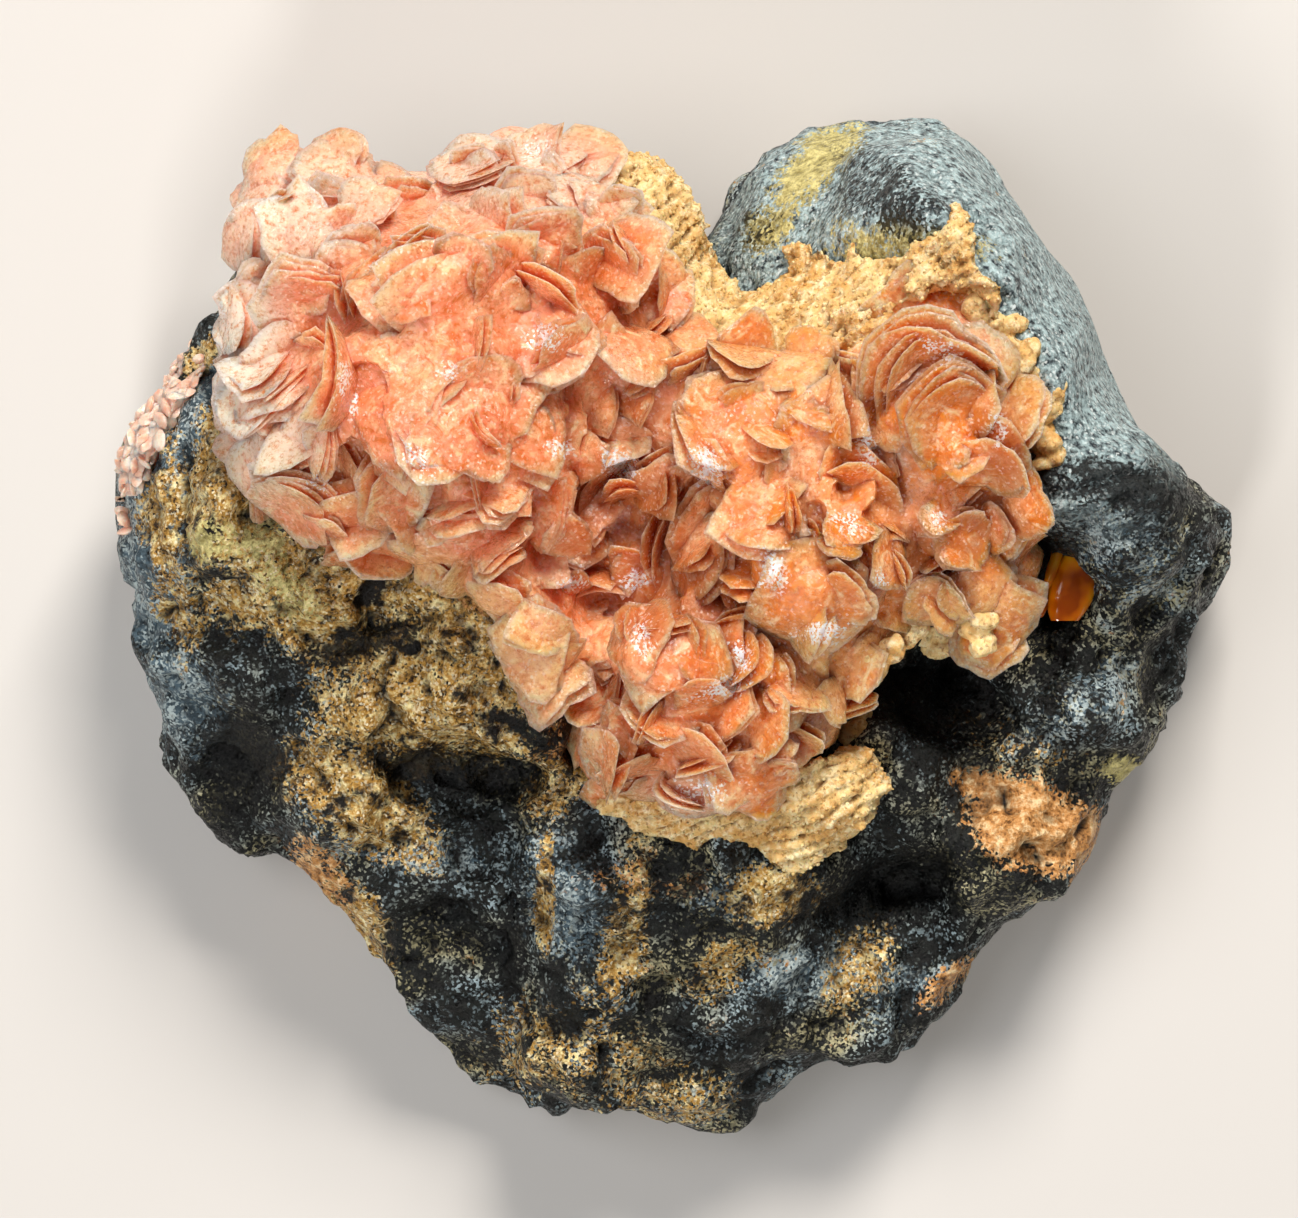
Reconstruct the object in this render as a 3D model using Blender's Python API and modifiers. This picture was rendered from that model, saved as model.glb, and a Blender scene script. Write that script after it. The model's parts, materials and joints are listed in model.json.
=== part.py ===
"""Rhodochrosite crystal cluster: lens-shaped crystals grown together over a lump of goethite.

Tables are in millimetres and degrees. The origin is the middle of the flat cut base, +Y is the
side with the notch, and +Z is the way the crystal face looks.
"""

import math
import random

import bmesh
import bpy
import numpy as np
from mathutils import Matrix, Vector, noise

MM = 0.001
# The gap that touching bodies keep, with a little to spare at the corners.
CUT_GAP = 0.35

# Outlines seen from above: the widest reach of each body.
STONE_OUTLINE = [
    (2.5, 19.6), (3.2, 21.4), (4.7, 22.8), (6.5, 24.1), (8.9, 25.4), (11.1, 25.9), (12.9, 25.8),
    (14.6, 24.9), (16.2, 23.3), (17.4, 21.1), (19.4, 18.6), (20.9, 15.9), (21.9, 13.0),
    (23.1, 10.9), (24.1, 8.3), (25.9, 7.8), (26.8, 6.4), (27.9, 5.0), (27.6, 3.4), (26.4, 0.8),
    (25.6, -2.6), (24.1, -5.6), (23.2, -7.3), (21.9, -8.7), (20.4, -11.2), (18.7, -13.1),
    (16.9, -15.3), (14.6, -17.9), (12.3, -20.2), (10.4, -22.0), (8.0, -22.3), (5.7, -23.2),
    (3.7, -25.1), (2.9, -25.9), (0.9, -25.6), (-1.6, -25.0), (-4.0, -24.7), (-6.0, -23.4),
    (-8.6, -22.5), (-10.1, -22.4), (-11.8, -21.1), (-13.6, -18.8), (-15.6, -16.9),
    (-16.6, -14.6), (-17.6, -12.8), (-19.1, -11.0), (-21.6, -10.5), (-22.8, -8.6),
    (-25.3, -5.8), (-26.6, -3.6), (-27.4, -0.8), (-27.6, 1.4), (-27.2, 3.6), (-27.6, 5.4),
    (-27.4, 7.3), (-26.6, 9.8), (-25.3, 11.7), (-23.8, 13.9), (-22.4, 16.1), (-21.1, 17.9),
    (-20.6, 20.3), (-18.6, 21.9), (-14.6, 21.8), (-11.6, 21.6), (-9.6, 22.9), (-5.5, 22.9),
    (-2.5, 21.4), (-0.5, 19.8), (0.9, 18.3),
]
CRYSTAL_OUTLINE = [
    (-21.4, 22.4), (-19.1, 23.9), (-17.6, 24.4), (-15.6, 24.0), (-13.6, 23.5), (-11.9, 22.9),
    (-10.8, 24.6), (-9.6, 25.1), (-5.5, 25.0), (-4.0, 23.8), (-3.0, 21.9), (-1.6, 19.6),
    (-0.3, 18.1), (0.8, 15.9), (3.5, 14.7), (6.5, 13.9), (8.9, 14.8), (10.7, 16.9),
    (12.9, 18.3), (15.7, 17.4), (16.6, 15.4), (17.9, 12.4), (18.6, 10.9), (18.8, 7.9),
    (19.4, 6.0), (18.7, 4.2), (17.4, 3.4), (17.4, 1.6), (15.7, 0.1), (12.9, 0.8), (10.9, -0.6),
    (9.6, -2.0), (8.9, -4.6), (8.3, -6.3), (6.5, -7.1), (5.5, -10.1), (3.5, -10.5),
    (1.4, -10.2), (-1.6, -9.3), (-3.5, -9.0), (-4.9, -7.7), (-4.7, -6.0), (-4.0, -4.3),
    (-4.3, -3.1), (-5.5, -3.1), (-7.0, -1.4), (-8.6, 0.3), (-10.6, 1.8), (-12.6, 2.9),
    (-14.6, 3.6), (-17.1, 3.9), (-20.1, 4.7), (-21.8, 5.4), (-22.9, 7.4), (-22.9, 9.9),
    (-23.1, 11.9), (-22.1, 13.9), (-22.8, 15.9), (-21.9, 17.4), (-22.3, 20.8),
]
NOTCH_OUTLINE = [
    (-4.0, 23.9), (-1.3, 23.8), (0.1, 22.8), (0.9, 21.1), (1.9, 19.5), (2.5, 18.6), (3.5, 18.2),
    (5.0, 19.1), (7.5, 19.4), (8.9, 20.3), (10.4, 21.2), (12.7, 21.8), (14.4, 20.8),
    (15.2, 18.3), (16.4, 17.1), (17.1, 14.9), (16.4, 14.2), (15.4, 16.4), (12.9, 17.1),
    (11.2, 15.7), (9.4, 13.8), (6.5, 12.8), (3.2, 13.5), (0.5, 14.9), (-1.1, 17.4),
    (-2.5, 19.4), (-3.5, 21.6),
]
CUSHION_OUTLINE = [
    (8.3, -5.8), (10.4, -6.2), (10.8, -8.1), (9.7, -9.7), (8.1, -10.9), (6.5, -12.8),
    (5.0, -12.3), (3.5, -11.8), (0.9, -11.2), (-1.6, -10.2), (-3.6, -9.2), (-4.0, -8.1),
    (-1.6, -8.3), (1.4, -8.8), (5.0, -8.6), (6.5, -6.6),
]
RIM_OUTLINE = [
    (-22.9, 15.6), (-24.6, 13.3), (-25.6, 11.8), (-27.1, 9.9), (-27.9, 7.5), (-27.9, 5.3),
    (-27.4, 4.2), (-26.6, 5.4), (-26.2, 7.4), (-25.4, 9.6), (-24.1, 11.4), (-23.0, 13.0),
]

# Spot heights of the stone: x, y and the height of its top there.
STONE_SPOTS = {
    "left crest": [
        (-26.1, 9.9, 13.5), (-27.1, 5.4, 12.5), (-22.8, 13.4, 15.5), (-22.1, 8.9, 17.5),
        (-24.6, 3.4, 15.5), (-26.6, 0.4, 11.5), (-23.6, 6.4, 17.5),
    ],
    "ochre slope": [
        (-18.6, 3.4, 18.5), (-13.6, 2.4, 19.0), (-9.6, 0.4, 19.0), (-6.5, -2.6, 18.0),
        (-21.1, -1.1, 15.5), (-16.1, -2.6, 17.0), (-11.1, -5.1, 17.4), (-7.0, -5.3, 16.8),
        (-14.6, -6.8, 13.6), (-9.6, -8.3, 13.0), (-6.0, -7.1, 14.5), (-21.1, -6.8, 11.3),
        (-24.1, -4.6, 9.8), (-21.6, -9.6, 8.0),
    ],
    "lower left": [
        (-17.1, -9.6, 12.3), (-12.6, -11.1, 12.5), (-16.1, -14.1, 8.8), (-10.1, -15.1, 10.0),
        (-11.6, -19.6, 7.6), (-9.1, -21.1, 7.0),
    ],
    "middle block": [
        (-6.3, -11.6, 15.0), (-1.6, -11.1, 15.8), (3.5, -12.8, 15.5), (7.5, -13.6, 13.0),
        (-7.0, -16.6, 13.4), (-1.6, -17.6, 13.6), (3.5, -17.6, 12.4), (-6.0, -21.6, 9.8),
        (-1.1, -22.6, 9.3), (2.7, -24.6, 6.8), (6.5, -20.6, 9.6), (9.9, -21.1, 8.0),
    ],
    "lower right": [
        (11.4, -12.6, 8.2), (9.9, -15.1, 9.4), (14.4, -15.6, 8.4), (8.9, -11.6, 11.5),
        (11.4, -8.1, 13.2), (15.4, -9.6, 12.2), (18.9, -10.1, 11.6), (21.4, -8.1, 9.6),
        (16.4, -13.6, 9.2),
    ],
    "right shoulder": [
        (11.7, -3.1, 11.6), (14.7, -2.1, 11.0), (18.4, -3.6, 13.6), (21.4, -4.6, 13.2),
        (23.9, -3.1, 10.4), (16.9, 0.4, 13.0), (19.9, 1.4, 13.5), (22.7, 3.4, 18.2),
        (20.7, 6.9, 20.3), (24.7, 6.9, 17.4), (27.1, 4.9, 12.2), (25.9, 1.9, 12.2),
    ],
    "round lobe": [
        (16.4, 16.9, 22.0), (19.4, 12.4, 21.0), (22.2, 9.9, 16.8), (13.9, 20.9, 21.0),
        (10.9, 23.4, 17.0), (7.5, 21.4, 14.5), (4.5, 20.1, 10.5), (17.9, 18.9, 17.0),
        (20.9, 13.9, 15.0), (14.4, 24.1, 13.5), (11.1, 25.3, 10.0), (16.2, 22.9, 11.5),
        (19.3, 18.3, 12.0), (21.8, 12.8, 11.5), (3.5, 20.9, 7.0), (6.6, 23.8, 8.5),
        (8.9, 24.9, 9.0),
    ],
    "bed under the crystals": [
        (1.4, 16.4, 10.0), (4.5, 14.9, 13.0), (9.4, 16.4, 16.0), (13.9, 15.4, 18.5),
        (16.4, 10.4, 19.0), (8.9, 8.9, 18.0), (1.4, 8.9, 17.5), (-3.5, 6.4, 17.0),
        (-11.1, 11.4, 19.0), (-16.1, 16.4, 16.0), (-18.6, 19.9, 11.0), (-12.1, 19.9, 12.0),
        (-6.5, 20.9, 12.0), (-1.6, 18.4, 12.5), (-18.6, 9.9, 18.0), (-3.5, -1.1, 15.0),
        (1.4, -3.6, 15.5), (6.5, -1.1, 15.5), (-2.5, -7.6, 14.5), (5.5, -7.6, 14.5),
    ],
}
# Clefts and hollows of the stone: x, y, half length, half width, turn and depth.
STONE_HOLLOWS = [
    (-14.6, -0.4, 3.7, 1.2, 15, 2.2),
    (-10.6, -7.4, 4.8, 1.4, -5, 2.6),
    (12.9, -3.1, 4.2, 3.2, -20, 2.0),
    (11.0, -13.1, 4.2, 2.2, 20, 2.2),
    (-21.8, -5.4, 3.2, 2.4, -45, 1.6),
    (-12.8, -11.3, 5.5, 1.2, -5, 1.4),
    (-4.8, -5.0, 2.6, 1.1, 80, 2.6),
    (19.7, 2.7, 3.2, 2.0, 70, 4.0),
    (17.9, 11.2, 3.2, 0.9, 100, 1.6),
    (-1.3, -18.2, 1.6, 0.8, 0, 1.2),
    (-7.9, -15.6, 4.6, 1.0, 84, 1.8),
]
# Round lobe, where the stone is smooth: x, y and radius, and how much of its facets is lost.
STONE_LOBE = (15.5, 15.5, 10.5)
LOBE_SMOOTHING = 0.8
# The stone is plain where the crystals cover it, above this height.
COVERED_FROM = 8.0

# Spot heights of the top of the crystal mass.
CRYSTAL_SPOTS = {
    "left mass": [
        (-21.6, 21.4, 14.0), (-22.1, 18.9, 15.0), (-21.1, 22.6, 12.5), (-17.6, 23.9, 13.0),
        (-13.6, 23.0, 13.0), (-11.9, 22.4, 13.5), (-10.1, 24.4, 13.0), (-5.5, 24.4, 13.0),
        (-3.0, 22.4, 14.5), (-18.6, 20.4, 19.5), (-14.6, 19.4, 22.0), (-10.1, 21.4, 20.0),
        (-6.0, 20.9, 20.5), (-2.5, 18.9, 20.5), (0.5, 16.4, 18.0), (-20.6, 15.4, 20.5),
        (-16.6, 14.9, 25.0), (-11.1, 15.4, 27.0), (-6.5, 14.9, 26.0), (-2.5, 12.9, 23.0),
        (-22.1, 11.4, 19.8), (-18.6, 9.9, 24.0), (-13.6, 9.4, 26.5), (-9.6, 8.4, 26.0),
        (-5.5, 8.9, 23.5), (-21.6, 6.4, 19.8), (-17.1, 5.4, 22.5), (-12.6, 4.4, 23.0),
        (-8.6, 2.4, 23.0), (-6.0, 0.1, 22.5), (-5.0, -1.9, 20.2),
    ],
    "valley": [
        (-3.5, 9.9, 21.0), (-2.5, 6.4, 19.6), (-4.0, 3.4, 19.0), (-3.0, 0.4, 17.8),
        (-4.5, -3.1, 16.0),
    ],
    "right mass": [
        (-0.6, 13.4, 22.0), (1.4, 14.9, 19.0), (3.5, 12.4, 23.0), (3.0, 9.4, 24.0),
        (6.5, 11.4, 23.5), (9.4, 14.2, 21.0), (13.4, 16.4, 22.0), (12.4, 12.4, 24.5),
        (14.9, 9.9, 24.5), (17.9, 11.4, 21.0), (17.7, 6.4, 22.0), (10.4, 7.9, 24.0),
        (6.5, 5.4, 25.0), (3.5, 3.4, 24.0), (8.4, 1.9, 25.0), (12.4, 3.4, 22.5),
        (15.7, 2.1, 20.5), (10.4, -0.3, 20.0), (1.4, 5.9, 22.0),
    ],
    "tongue": [
        (-0.6, -1.1, 24.5), (2.5, -0.1, 22.0), (6.5, -2.6, 22.0), (8.7, -4.1, 19.5),
        (-2.5, -4.6, 21.5), (1.4, -5.6, 23.5), (5.5, -6.3, 21.5), (-3.6, -7.6, 18.5),
        (-0.6, -8.9, 19.5), (3.5, -9.6, 19.0),
    ],
}
NOTCH_SPOTS = [
    (-1.3, 23.1, 13.8), (0.1, 21.4, 14.5), (-1.1, 19.9, 18.0), (1.4, 17.9, 14.2),
    (0.9, 16.4, 17.5), (3.0, 18.1, 10.0), (4.5, 16.9, 13.8), (3.5, 14.9, 17.0),
    (6.5, 16.4, 17.0), (6.5, 13.9, 19.5), (8.9, 17.9, 18.2), (11.4, 19.4, 20.2),
    (13.4, 20.1, 22.0), (14.4, 18.4, 22.8), (10.9, 17.1, 21.0), (-3.0, 22.6, 14.5),
    (15.9, 15.9, 22.5), (16.9, 14.7, 21.8),
]
CUSHION_SPOTS = [
    (9.4, -7.6, 17.5), (10.2, -6.6, 16.8), (7.5, -10.3, 16.8), (4.5, -11.2, 16.6),
    (0.9, -10.6, 16.8), (-1.6, -9.6, 17.0), (5.5, -8.6, 18.5), (1.4, -9.1, 18.0),
    (-3.5, -8.6, 16.5),
]
RIM_SPOTS = [
    (-22.9, 14.6, 16.0), (-24.6, 12.2, 16.0), (-26.6, 7.4, 14.5), (-26.9, 5.2, 13.5),
    (-27.9, 6.4, 11.0), (-24.4, 13.6, 13.0),
]

# Leading crystals: x, y, radius, tilt from flat, and the way the face leans.
CRYSTALS = {
    "left mass": [
        (-19.8, 22.6, 1.9, 35, 120), (-16.8, 22.6, 1.9, 40, 80), (-13.8, 22.0, 1.6, 45, 60),
        (-21.4, 19.4, 1.7, 50, 180), (-18.6, 19.9, 2.0, 25, 150), (-16.3, 18.3, 2.1, 40, 130),
        (-12.6, 18.5, 1.5, 50, -40), (-18.1, 16.1, 2.2, 35, -90), (-10.3, 15.9, 3.9, 36, -45),
        (-16.3, 12.4, 2.6, 65, 0), (-17.6, 9.6, 2.1, 45, 180), (-13.3, 6.7, 2.2, 40, -60),
        (-6.3, 5.9, 2.1, 30, 180), (-6.3, 19.1, 1.9, 30, -90), (-6.3, 16.8, 1.7, 55, -120),
        (-3.6, 20.6, 1.9, 35, 170), (-3.0, 17.9, 1.9, 40, -150), (-0.1, 16.9, 1.7, 75, 0),
        (-6.3, 14.3, 2.2, 20, 90), (-3.8, 14.7, 1.2, 40, 45), (-10.8, 11.2, 3.8, 20, 60),
        (-7.5, 10.4, 3.0, 25, 20), (-13.6, 10.4, 3.0, 30, 150), (-10.1, 4.8, 2.5, 40, -70),
        (-8.6, 7.2, 2.5, 25, 80), (-18.6, 6.4, 2.0, 50, -120), (-20.3, 7.9, 1.7, 35, -160),
        (-16.1, 5.4, 1.8, 55, -90), (-12.1, 3.9, 1.8, 60, -90), (-8.6, 1.4, 1.8, 60, -110),
        (-6.8, -0.6, 1.7, 40, -90), (-5.7, -1.7, 1.4, 45, -60), (-21.6, 14.9, 1.8, 55, 170),
        (-21.8, 11.4, 1.6, 50, 180), (-19.8, 12.2, 1.8, 30, 130), (-9.8, 23.1, 1.9, 50, 110),
        (-6.3, 23.4, 2.1, 50, 90), (-4.5, 21.5, 1.5, 50, 60),
    ],
    "valley": [
        (-0.3, 7.0, 2.0, 62, 165), (-2.6, 9.4, 1.6, 25, -100), (-1.6, 11.5, 1.4, 40, 160),
        (-2.4, 6.9, 1.4, 70, -80), (-3.8, 5.7, 1.4, 30, 120), (-1.9, 3.2, 1.5, 35, -100),
        (-4.7, 2.1, 0.9, 50, -60), (-3.6, -0.6, 1.5, 35, 150),
    ],
    "right mass": [
        (1.7, 8.3, 1.9, 66, -135), (3.1, 10.2, 2.7, 15, 100), (2.5, 7.4, 0.9, 50, -90),
        (1.4, 3.4, 1.9, 40, 170), (4.7, 3.0, 1.6, 58, 170), (6.0, 5.7, 1.3, 65, 180),
        (8.0, 9.5, 2.4, 25, -30), (8.7, 5.0, 1.4, 40, 60), (4.5, 5.4, 2.3, 20, 90),
        (6.8, 1.4, 2.6, 30, -80), (9.7, -1.4, 1.3, 35, -60), (10.7, 3.4, 1.6, 55, 0),
        (12.3, 13.0, 2.9, 40, -70), (13.7, 10.7, 2.5, 30, -45), (10.9, 10.9, 1.8, 40, 180),
        (15.3, 8.1, 2.1, 52, -95), (13.2, 8.7, 1.7, 45, -160), (17.8, 5.9, 1.8, 42, -170),
        (13.2, 5.4, 1.0, 40, 60), (14.5, 4.5, 1.4, 35, -45), (15.4, 1.9, 1.7, 30, -60),
        (13.2, 1.4, 1.4, 40, -100), (13.2, 15.9, 2.3, 25, 90), (0.9, 13.9, 2.0, 45, 100),
        (3.5, 13.3, 1.8, 60, 80), (6.0, 13.1, 1.7, 58, 100),
    ],
    "tongue": [
        (-0.5, -1.2, 2.7, 18, 130), (1.6, -1.4, 1.7, 30, 20), (1.4, -3.2, 1.6, 56, -80),
        (-3.2, -3.6, 1.5, 50, 170), (-2.5, -5.0, 1.4, 25, -170), (-1.1, -4.7, 1.3, 60, -30),
        (3.4, 0.5, 1.3, 58, -90), (3.6, -1.6, 1.4, 62, 160), (2.3, -5.5, 1.9, 30, -45),
        (-1.9, -6.8, 1.9, 62, -70), (-3.3, -8.3, 1.1, 40, -110), (1.4, -8.2, 1.7, 35, -90),
        (4.0, -7.6, 2.1, 30, -60), (6.5, -5.5, 1.4, 30, -20), (4.7, -4.7, 1.5, 40, 180),
        (6.0, -3.1, 1.8, 40, 60), (8.0, -3.6, 1.4, 50, 10),
    ],
}
RIM_CRYSTALS = [
    (-24.1, 13.4, 1.2, 55, 140), (-25.0, 11.8, 1.2, 60, 160),
    (-26.0, 9.6, 1.4, 50, 150), (-26.9, 7.6, 1.3, 60, 170), (-27.1, 5.6, 1.1, 55, 180),
]
AMBER_BLADES = [
    (20.1, 2.1, 14.6, 1.8, 62, 150), (19.2, 2.3, 15.2, 2.2, 80, 150), (20.3, 0.9, 13.8, 1.1, 40, 110),
]

# A lens: sides round the rim, half thickness and the place of its shoulder, in parts of its radius.
LENS_SIDES = 8
LENS_THICKNESS = 0.30
SHOULDER_OUT, SHOULDER_UP = 0.60, 0.76
RIM_UNEVENNESS = 0.10
# How far a lens's middle is under the spot heights, in parts of its radius, and the bed's top, in mm.
LENS_SINK = 0.05
BED_DROP = 0.9
RIM_SINK = 0.3

# Small crystals that fill the mass between the leading ones, and their jitter and clearances.
FILL_SPACING = 3.0
FILL_JITTER = 0.8
FILL_CLEAR = 1.9
FILL_FROM_EDGE = 0.6
FILL_RADIUS = (1.0, 1.6)
FILL_TILT = (20, 60)

# Crystals that stand out of the steep sides of the mass, in columns round its outline: how far in
# from it they start, how low the columns go, and how far they keep from the stone and the crusts.
SIDE_SPACING = 3.1
SIDE_STEP = 2.7
SIDE_INSET = 0.6
SIDE_LOWEST = 9.5
SIDE_CLEAR = 1.0
SIDE_RADIUS = (1.3, 1.9)
SIDE_TILT = (50, 85)
SIDE_TURN = 35

# Broken facets, as pairs of size and height, and how wide the bevel between two of them is.
STONE_FACETS = [(7.0, 2.8), (2.8, 1.3)]
CRUST_FACETS = [(1.8, 1.3)]
FACET_EDGE = 0.22

# Slabs that the bodies are shaped from: lowest, highest, voxel size and triangles kept.
STONE_SLAB = (-1.5, 20.0, 1.0, 3300)
CRYSTAL_SLAB = (7.0, 22.0, 1.2, 1100)
NOTCH_SLAB = (6.0, 20.0, 0.9, 560)
CUSHION_SLAB = (11.0, 20.0, 0.9, 380)
RIM_SLAB = (8.0, 15.0, 0.8, 220)
CLUSTER_TRIANGLES = 5200

# Sides of a slab, in parts of its outline: at the bottom, at the widest, at the top, and how far
# up the widest place is.
STONE_SIDES = (0.76, 1.0, 0.965, 0.6)
CRYSTAL_SIDES = (0.90, 0.98, 0.955, 0.6)
STRAIGHT_SIDES = (1.0, 1.0, 1.0, 0.5)


class Relief:
    """A height for any place, drawn smoothly through spot heights."""

    SOFTNESS = 1.0

    def __init__(self, spots):
        table = np.array(spots)
        self.places = table[:, :2]
        self.middle = table[:, 2].mean()
        self.weights = np.linalg.solve(self.spread(self.places), table[:, 2] - self.middle)

    def spread(self, places):
        apart = places[:, None, :] - self.places[None, :, :]
        return np.sqrt((apart**2).sum(axis=2) + self.SOFTNESS**2)

    def __call__(self, places):
        return self.spread(places) @ self.weights + self.middle


def all_rows(table):
    return [row for rows in table.values() for row in rows]


def smoothstep(low, high, value):
    part = np.clip((value - low) / (high - low), 0.0, 1.0)
    return part * part * (3.0 - 2.0 * part)


def depth_inside(places, outline):
    """How far each place is inside the outline; negative outside it."""
    start = np.array(outline)
    side = np.roll(start, -1, axis=0) - start
    offset = places[:, None, :] - start[None, :, :]
    along = np.clip((offset * side).sum(axis=2) / (side**2).sum(axis=1), 0.0, 1.0)
    nearest = np.linalg.norm(offset - along[:, :, None] * side, axis=2).min(axis=1)
    rises = start[:, 1] > places[:, 1:2]
    ends_above = np.roll(start, -1, axis=0)[:, 1] > places[:, 1:2]
    slope = np.where(side[:, 1] == 0.0, 1e-9, side[:, 1])
    crossing = start[:, 0] + offset[:, :, 1] * side[:, 0] / slope
    crossed = (rises != ends_above) & (places[:, 0:1] < crossing)
    return np.where(crossed.sum(axis=1) % 2 == 1, nearest, -nearest)


def hollow_depth(places):
    """How deep the clefts and hollows of the stone cut at each place."""
    deepest = np.zeros(len(places))
    for x, y, half_length, half_width, turn, depth in STONE_HOLLOWS:
        angle = math.radians(turn)
        across = places - (x, y)
        u = (across[:, 0] * math.cos(angle) + across[:, 1] * math.sin(angle)) / half_length
        v = (across[:, 1] * math.cos(angle) - across[:, 0] * math.sin(angle)) / half_width
        deepest = np.maximum(deepest, depth * (1.0 - smoothstep(0.45, 1.15, np.hypot(u, v))))
    return deepest


def broken_facet(point, size):
    """Height of broken rock, about -0.5 to 0.5: each facet has a level and a lean of its own."""
    place = point / size
    distances, middles = noise.voronoi(place)
    levels = []
    for middle in middles[:2]:
        lean = noise.cell_vector(middle * 9.1) - Vector((0.5, 0.5, 0.5))
        levels.append(0.6 * lean.z + 0.9 * lean.dot(place - middle))
    share = 0.5 + 0.5 * min((distances[1] - distances[0]) / FACET_EDGE, 1.0)
    return levels[0] * share + levels[1] * (1.0 - share)


def collection_named(name):
    made = bpy.data.collections.new(name)
    bpy.context.scene.collection.children.link(made)
    return made


def material_named(name, colour, roughness):
    """A stone or crystal finish from an sRGB hex colour."""
    made = bpy.data.materials.new(name)
    made.use_nodes = True
    shader = made.node_tree.nodes["Principled BSDF"]
    parts = [int(colour[i : i + 2], 16) / 255 for i in (0, 2, 4)]
    linear = [p / 12.92 if p <= 0.04045 else ((p + 0.055) / 1.055) ** 2.4 for p in parts]
    shader.inputs["Base Color"].default_value = (*linear, 1.0)
    shader.inputs["Roughness"].default_value = roughness
    made.diffuse_color = (*linear, 1.0)
    return made


def object_from(name, mesh, collection):
    made = bpy.data.objects.new(name, mesh)
    collection.objects.link(made)
    return made


def bake(body):
    """Gives the body the mesh that its modifiers make."""
    bpy.context.view_layer.update()
    graph = bpy.context.evaluated_depsgraph_get()
    before = body.data
    body.data = bpy.data.meshes.new_from_object(body.evaluated_get(graph))
    body.modifiers.clear()
    bpy.data.meshes.remove(before)


def even_slab(name, outline, low, high, voxel, collection):
    """An even mesh of the outline between two heights, for shaping."""
    curve = bpy.data.curves.new(name + "_outline", "CURVE")
    curve.dimensions = "2D"
    curve.fill_mode = "BOTH"
    curve.extrude = (high - low) / 2 * MM
    line = curve.splines.new("POLY")
    line.points.add(len(outline) - 1)
    for point, (x, y) in zip(line.points, outline):
        point.co = (x * MM, y * MM, 0.0, 1.0)
    line.use_cyclic_u = True
    guide = object_from(name + "_outline", curve, collection)
    bpy.context.view_layer.update()
    graph = bpy.context.evaluated_depsgraph_get()
    mesh = bpy.data.meshes.new_from_object(guide.evaluated_get(graph))
    bpy.data.objects.remove(guide)
    bm = bmesh.new()
    bm.from_mesh(mesh)
    bmesh.ops.remove_doubles(bm, verts=bm.verts, dist=1e-6)
    bmesh.ops.translate(bm, verts=bm.verts, vec=(0.0, 0.0, (low + high) / 2 * MM))
    bm.to_mesh(mesh)
    bm.free()
    body = object_from(name, mesh, collection)
    remesh = body.modifiers.new("even mesh", "REMESH")
    remesh.mode = "VOXEL"
    remesh.voxel_size = voxel * MM
    bake(body)
    return body


def points_of(mesh):
    flat = np.empty(len(mesh.vertices) * 3)
    mesh.vertices.foreach_get("co", flat)
    return flat.reshape(-1, 3) / MM


def set_points(mesh, points):
    mesh.vertices.foreach_set("co", (points * MM).ravel())
    mesh.update()


def shaped_slab(name, outline, slab, sides, top, collection):
    """A slab with its top pulled to the top surface and its sides given their profile."""
    low, high, voxel, _ = slab
    body = even_slab(name, outline, low, high, voxel, collection)
    points = points_of(body.data)
    part = np.clip((points[:, 2] - low) / (high - low), 0.0, 1.0)
    bottom, widest, shoulder, waist = sides
    below = bottom + (widest - bottom) * np.sin(np.clip(part / waist, 0.0, 1.0) * math.pi / 2)
    above = widest + (shoulder - widest) * np.clip((part - waist) / (1.0 - waist), 0.0, 1.0) ** 2
    points[:, :2] *= np.where(part < waist, below, above)[:, None]
    points[:, 2] = low + (top(points[:, :2]) - low) * part
    set_points(body.data, points)
    return body


def roughen(body, facets, keep=None):
    """Moves each point along its normal by broken facets, given as pairs of size and height."""
    mesh = body.data
    points = points_of(mesh)
    strength = np.ones(len(points)) if keep is None else keep(points)
    for vertex, point, part in zip(mesh.vertices, points, strength):
        place = Vector(point)
        move = sum(height * broken_facet(place, size) for size, height in facets)
        vertex.co += vertex.normal * (move * part * MM)
    mesh.update()


def decimate(body, triangles):
    """Brings a body down to about this many triangles."""
    body.data.calc_loop_triangles()
    have = len(body.data.loop_triangles)
    if have <= triangles:
        return
    thin = body.modifiers.new("fewer faces", "DECIMATE")
    thin.ratio = triangles / have
    thin.use_collapse_triangulate = True
    bake(body)


def add_cutter(body, collection):
    """A copy of the body, larger by the gap on every side, to cut its neighbours with."""
    mesh = body.data.copy()
    for vertex in mesh.vertices:
        vertex.co += vertex.normal * (CUT_GAP * MM)
    cutter = object_from(body.name + "_cutter", mesh, collection)
    cutter.hide_render = True
    cutter.display_type = "WIRE"
    return cutter


def combine(body, operation, others):
    """Joins a collection to the body, or cuts it from the body."""
    boolean = body.modifiers.new(operation.lower(), "BOOLEAN")
    boolean.operation = operation
    boolean.operand_type = "COLLECTION"
    boolean.collection = others
    bake(body)


def keep_largest(body):
    """Drops the loose chips and closed gaps that joining and cutting leave."""
    bm = bmesh.new()
    bm.from_mesh(body.data)
    unseen = set(bm.faces)
    pieces = []
    while unseen:
        front = [unseen.pop()]
        piece = []
        while front:
            face = front.pop()
            piece.append(face)
            for edge in face.edges:
                for other in edge.link_faces:
                    if other in unseen:
                        unseen.remove(other)
                        front.append(other)
        pieces.append(piece)
    pieces.sort(key=lambda piece: sum(face.calc_area() for face in piece))
    chips = [face for piece in pieces[:-1] for face in piece]
    bmesh.ops.delete(bm, geom=chips, context="FACES")
    bm.to_mesh(body.data)
    bm.free()


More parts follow.
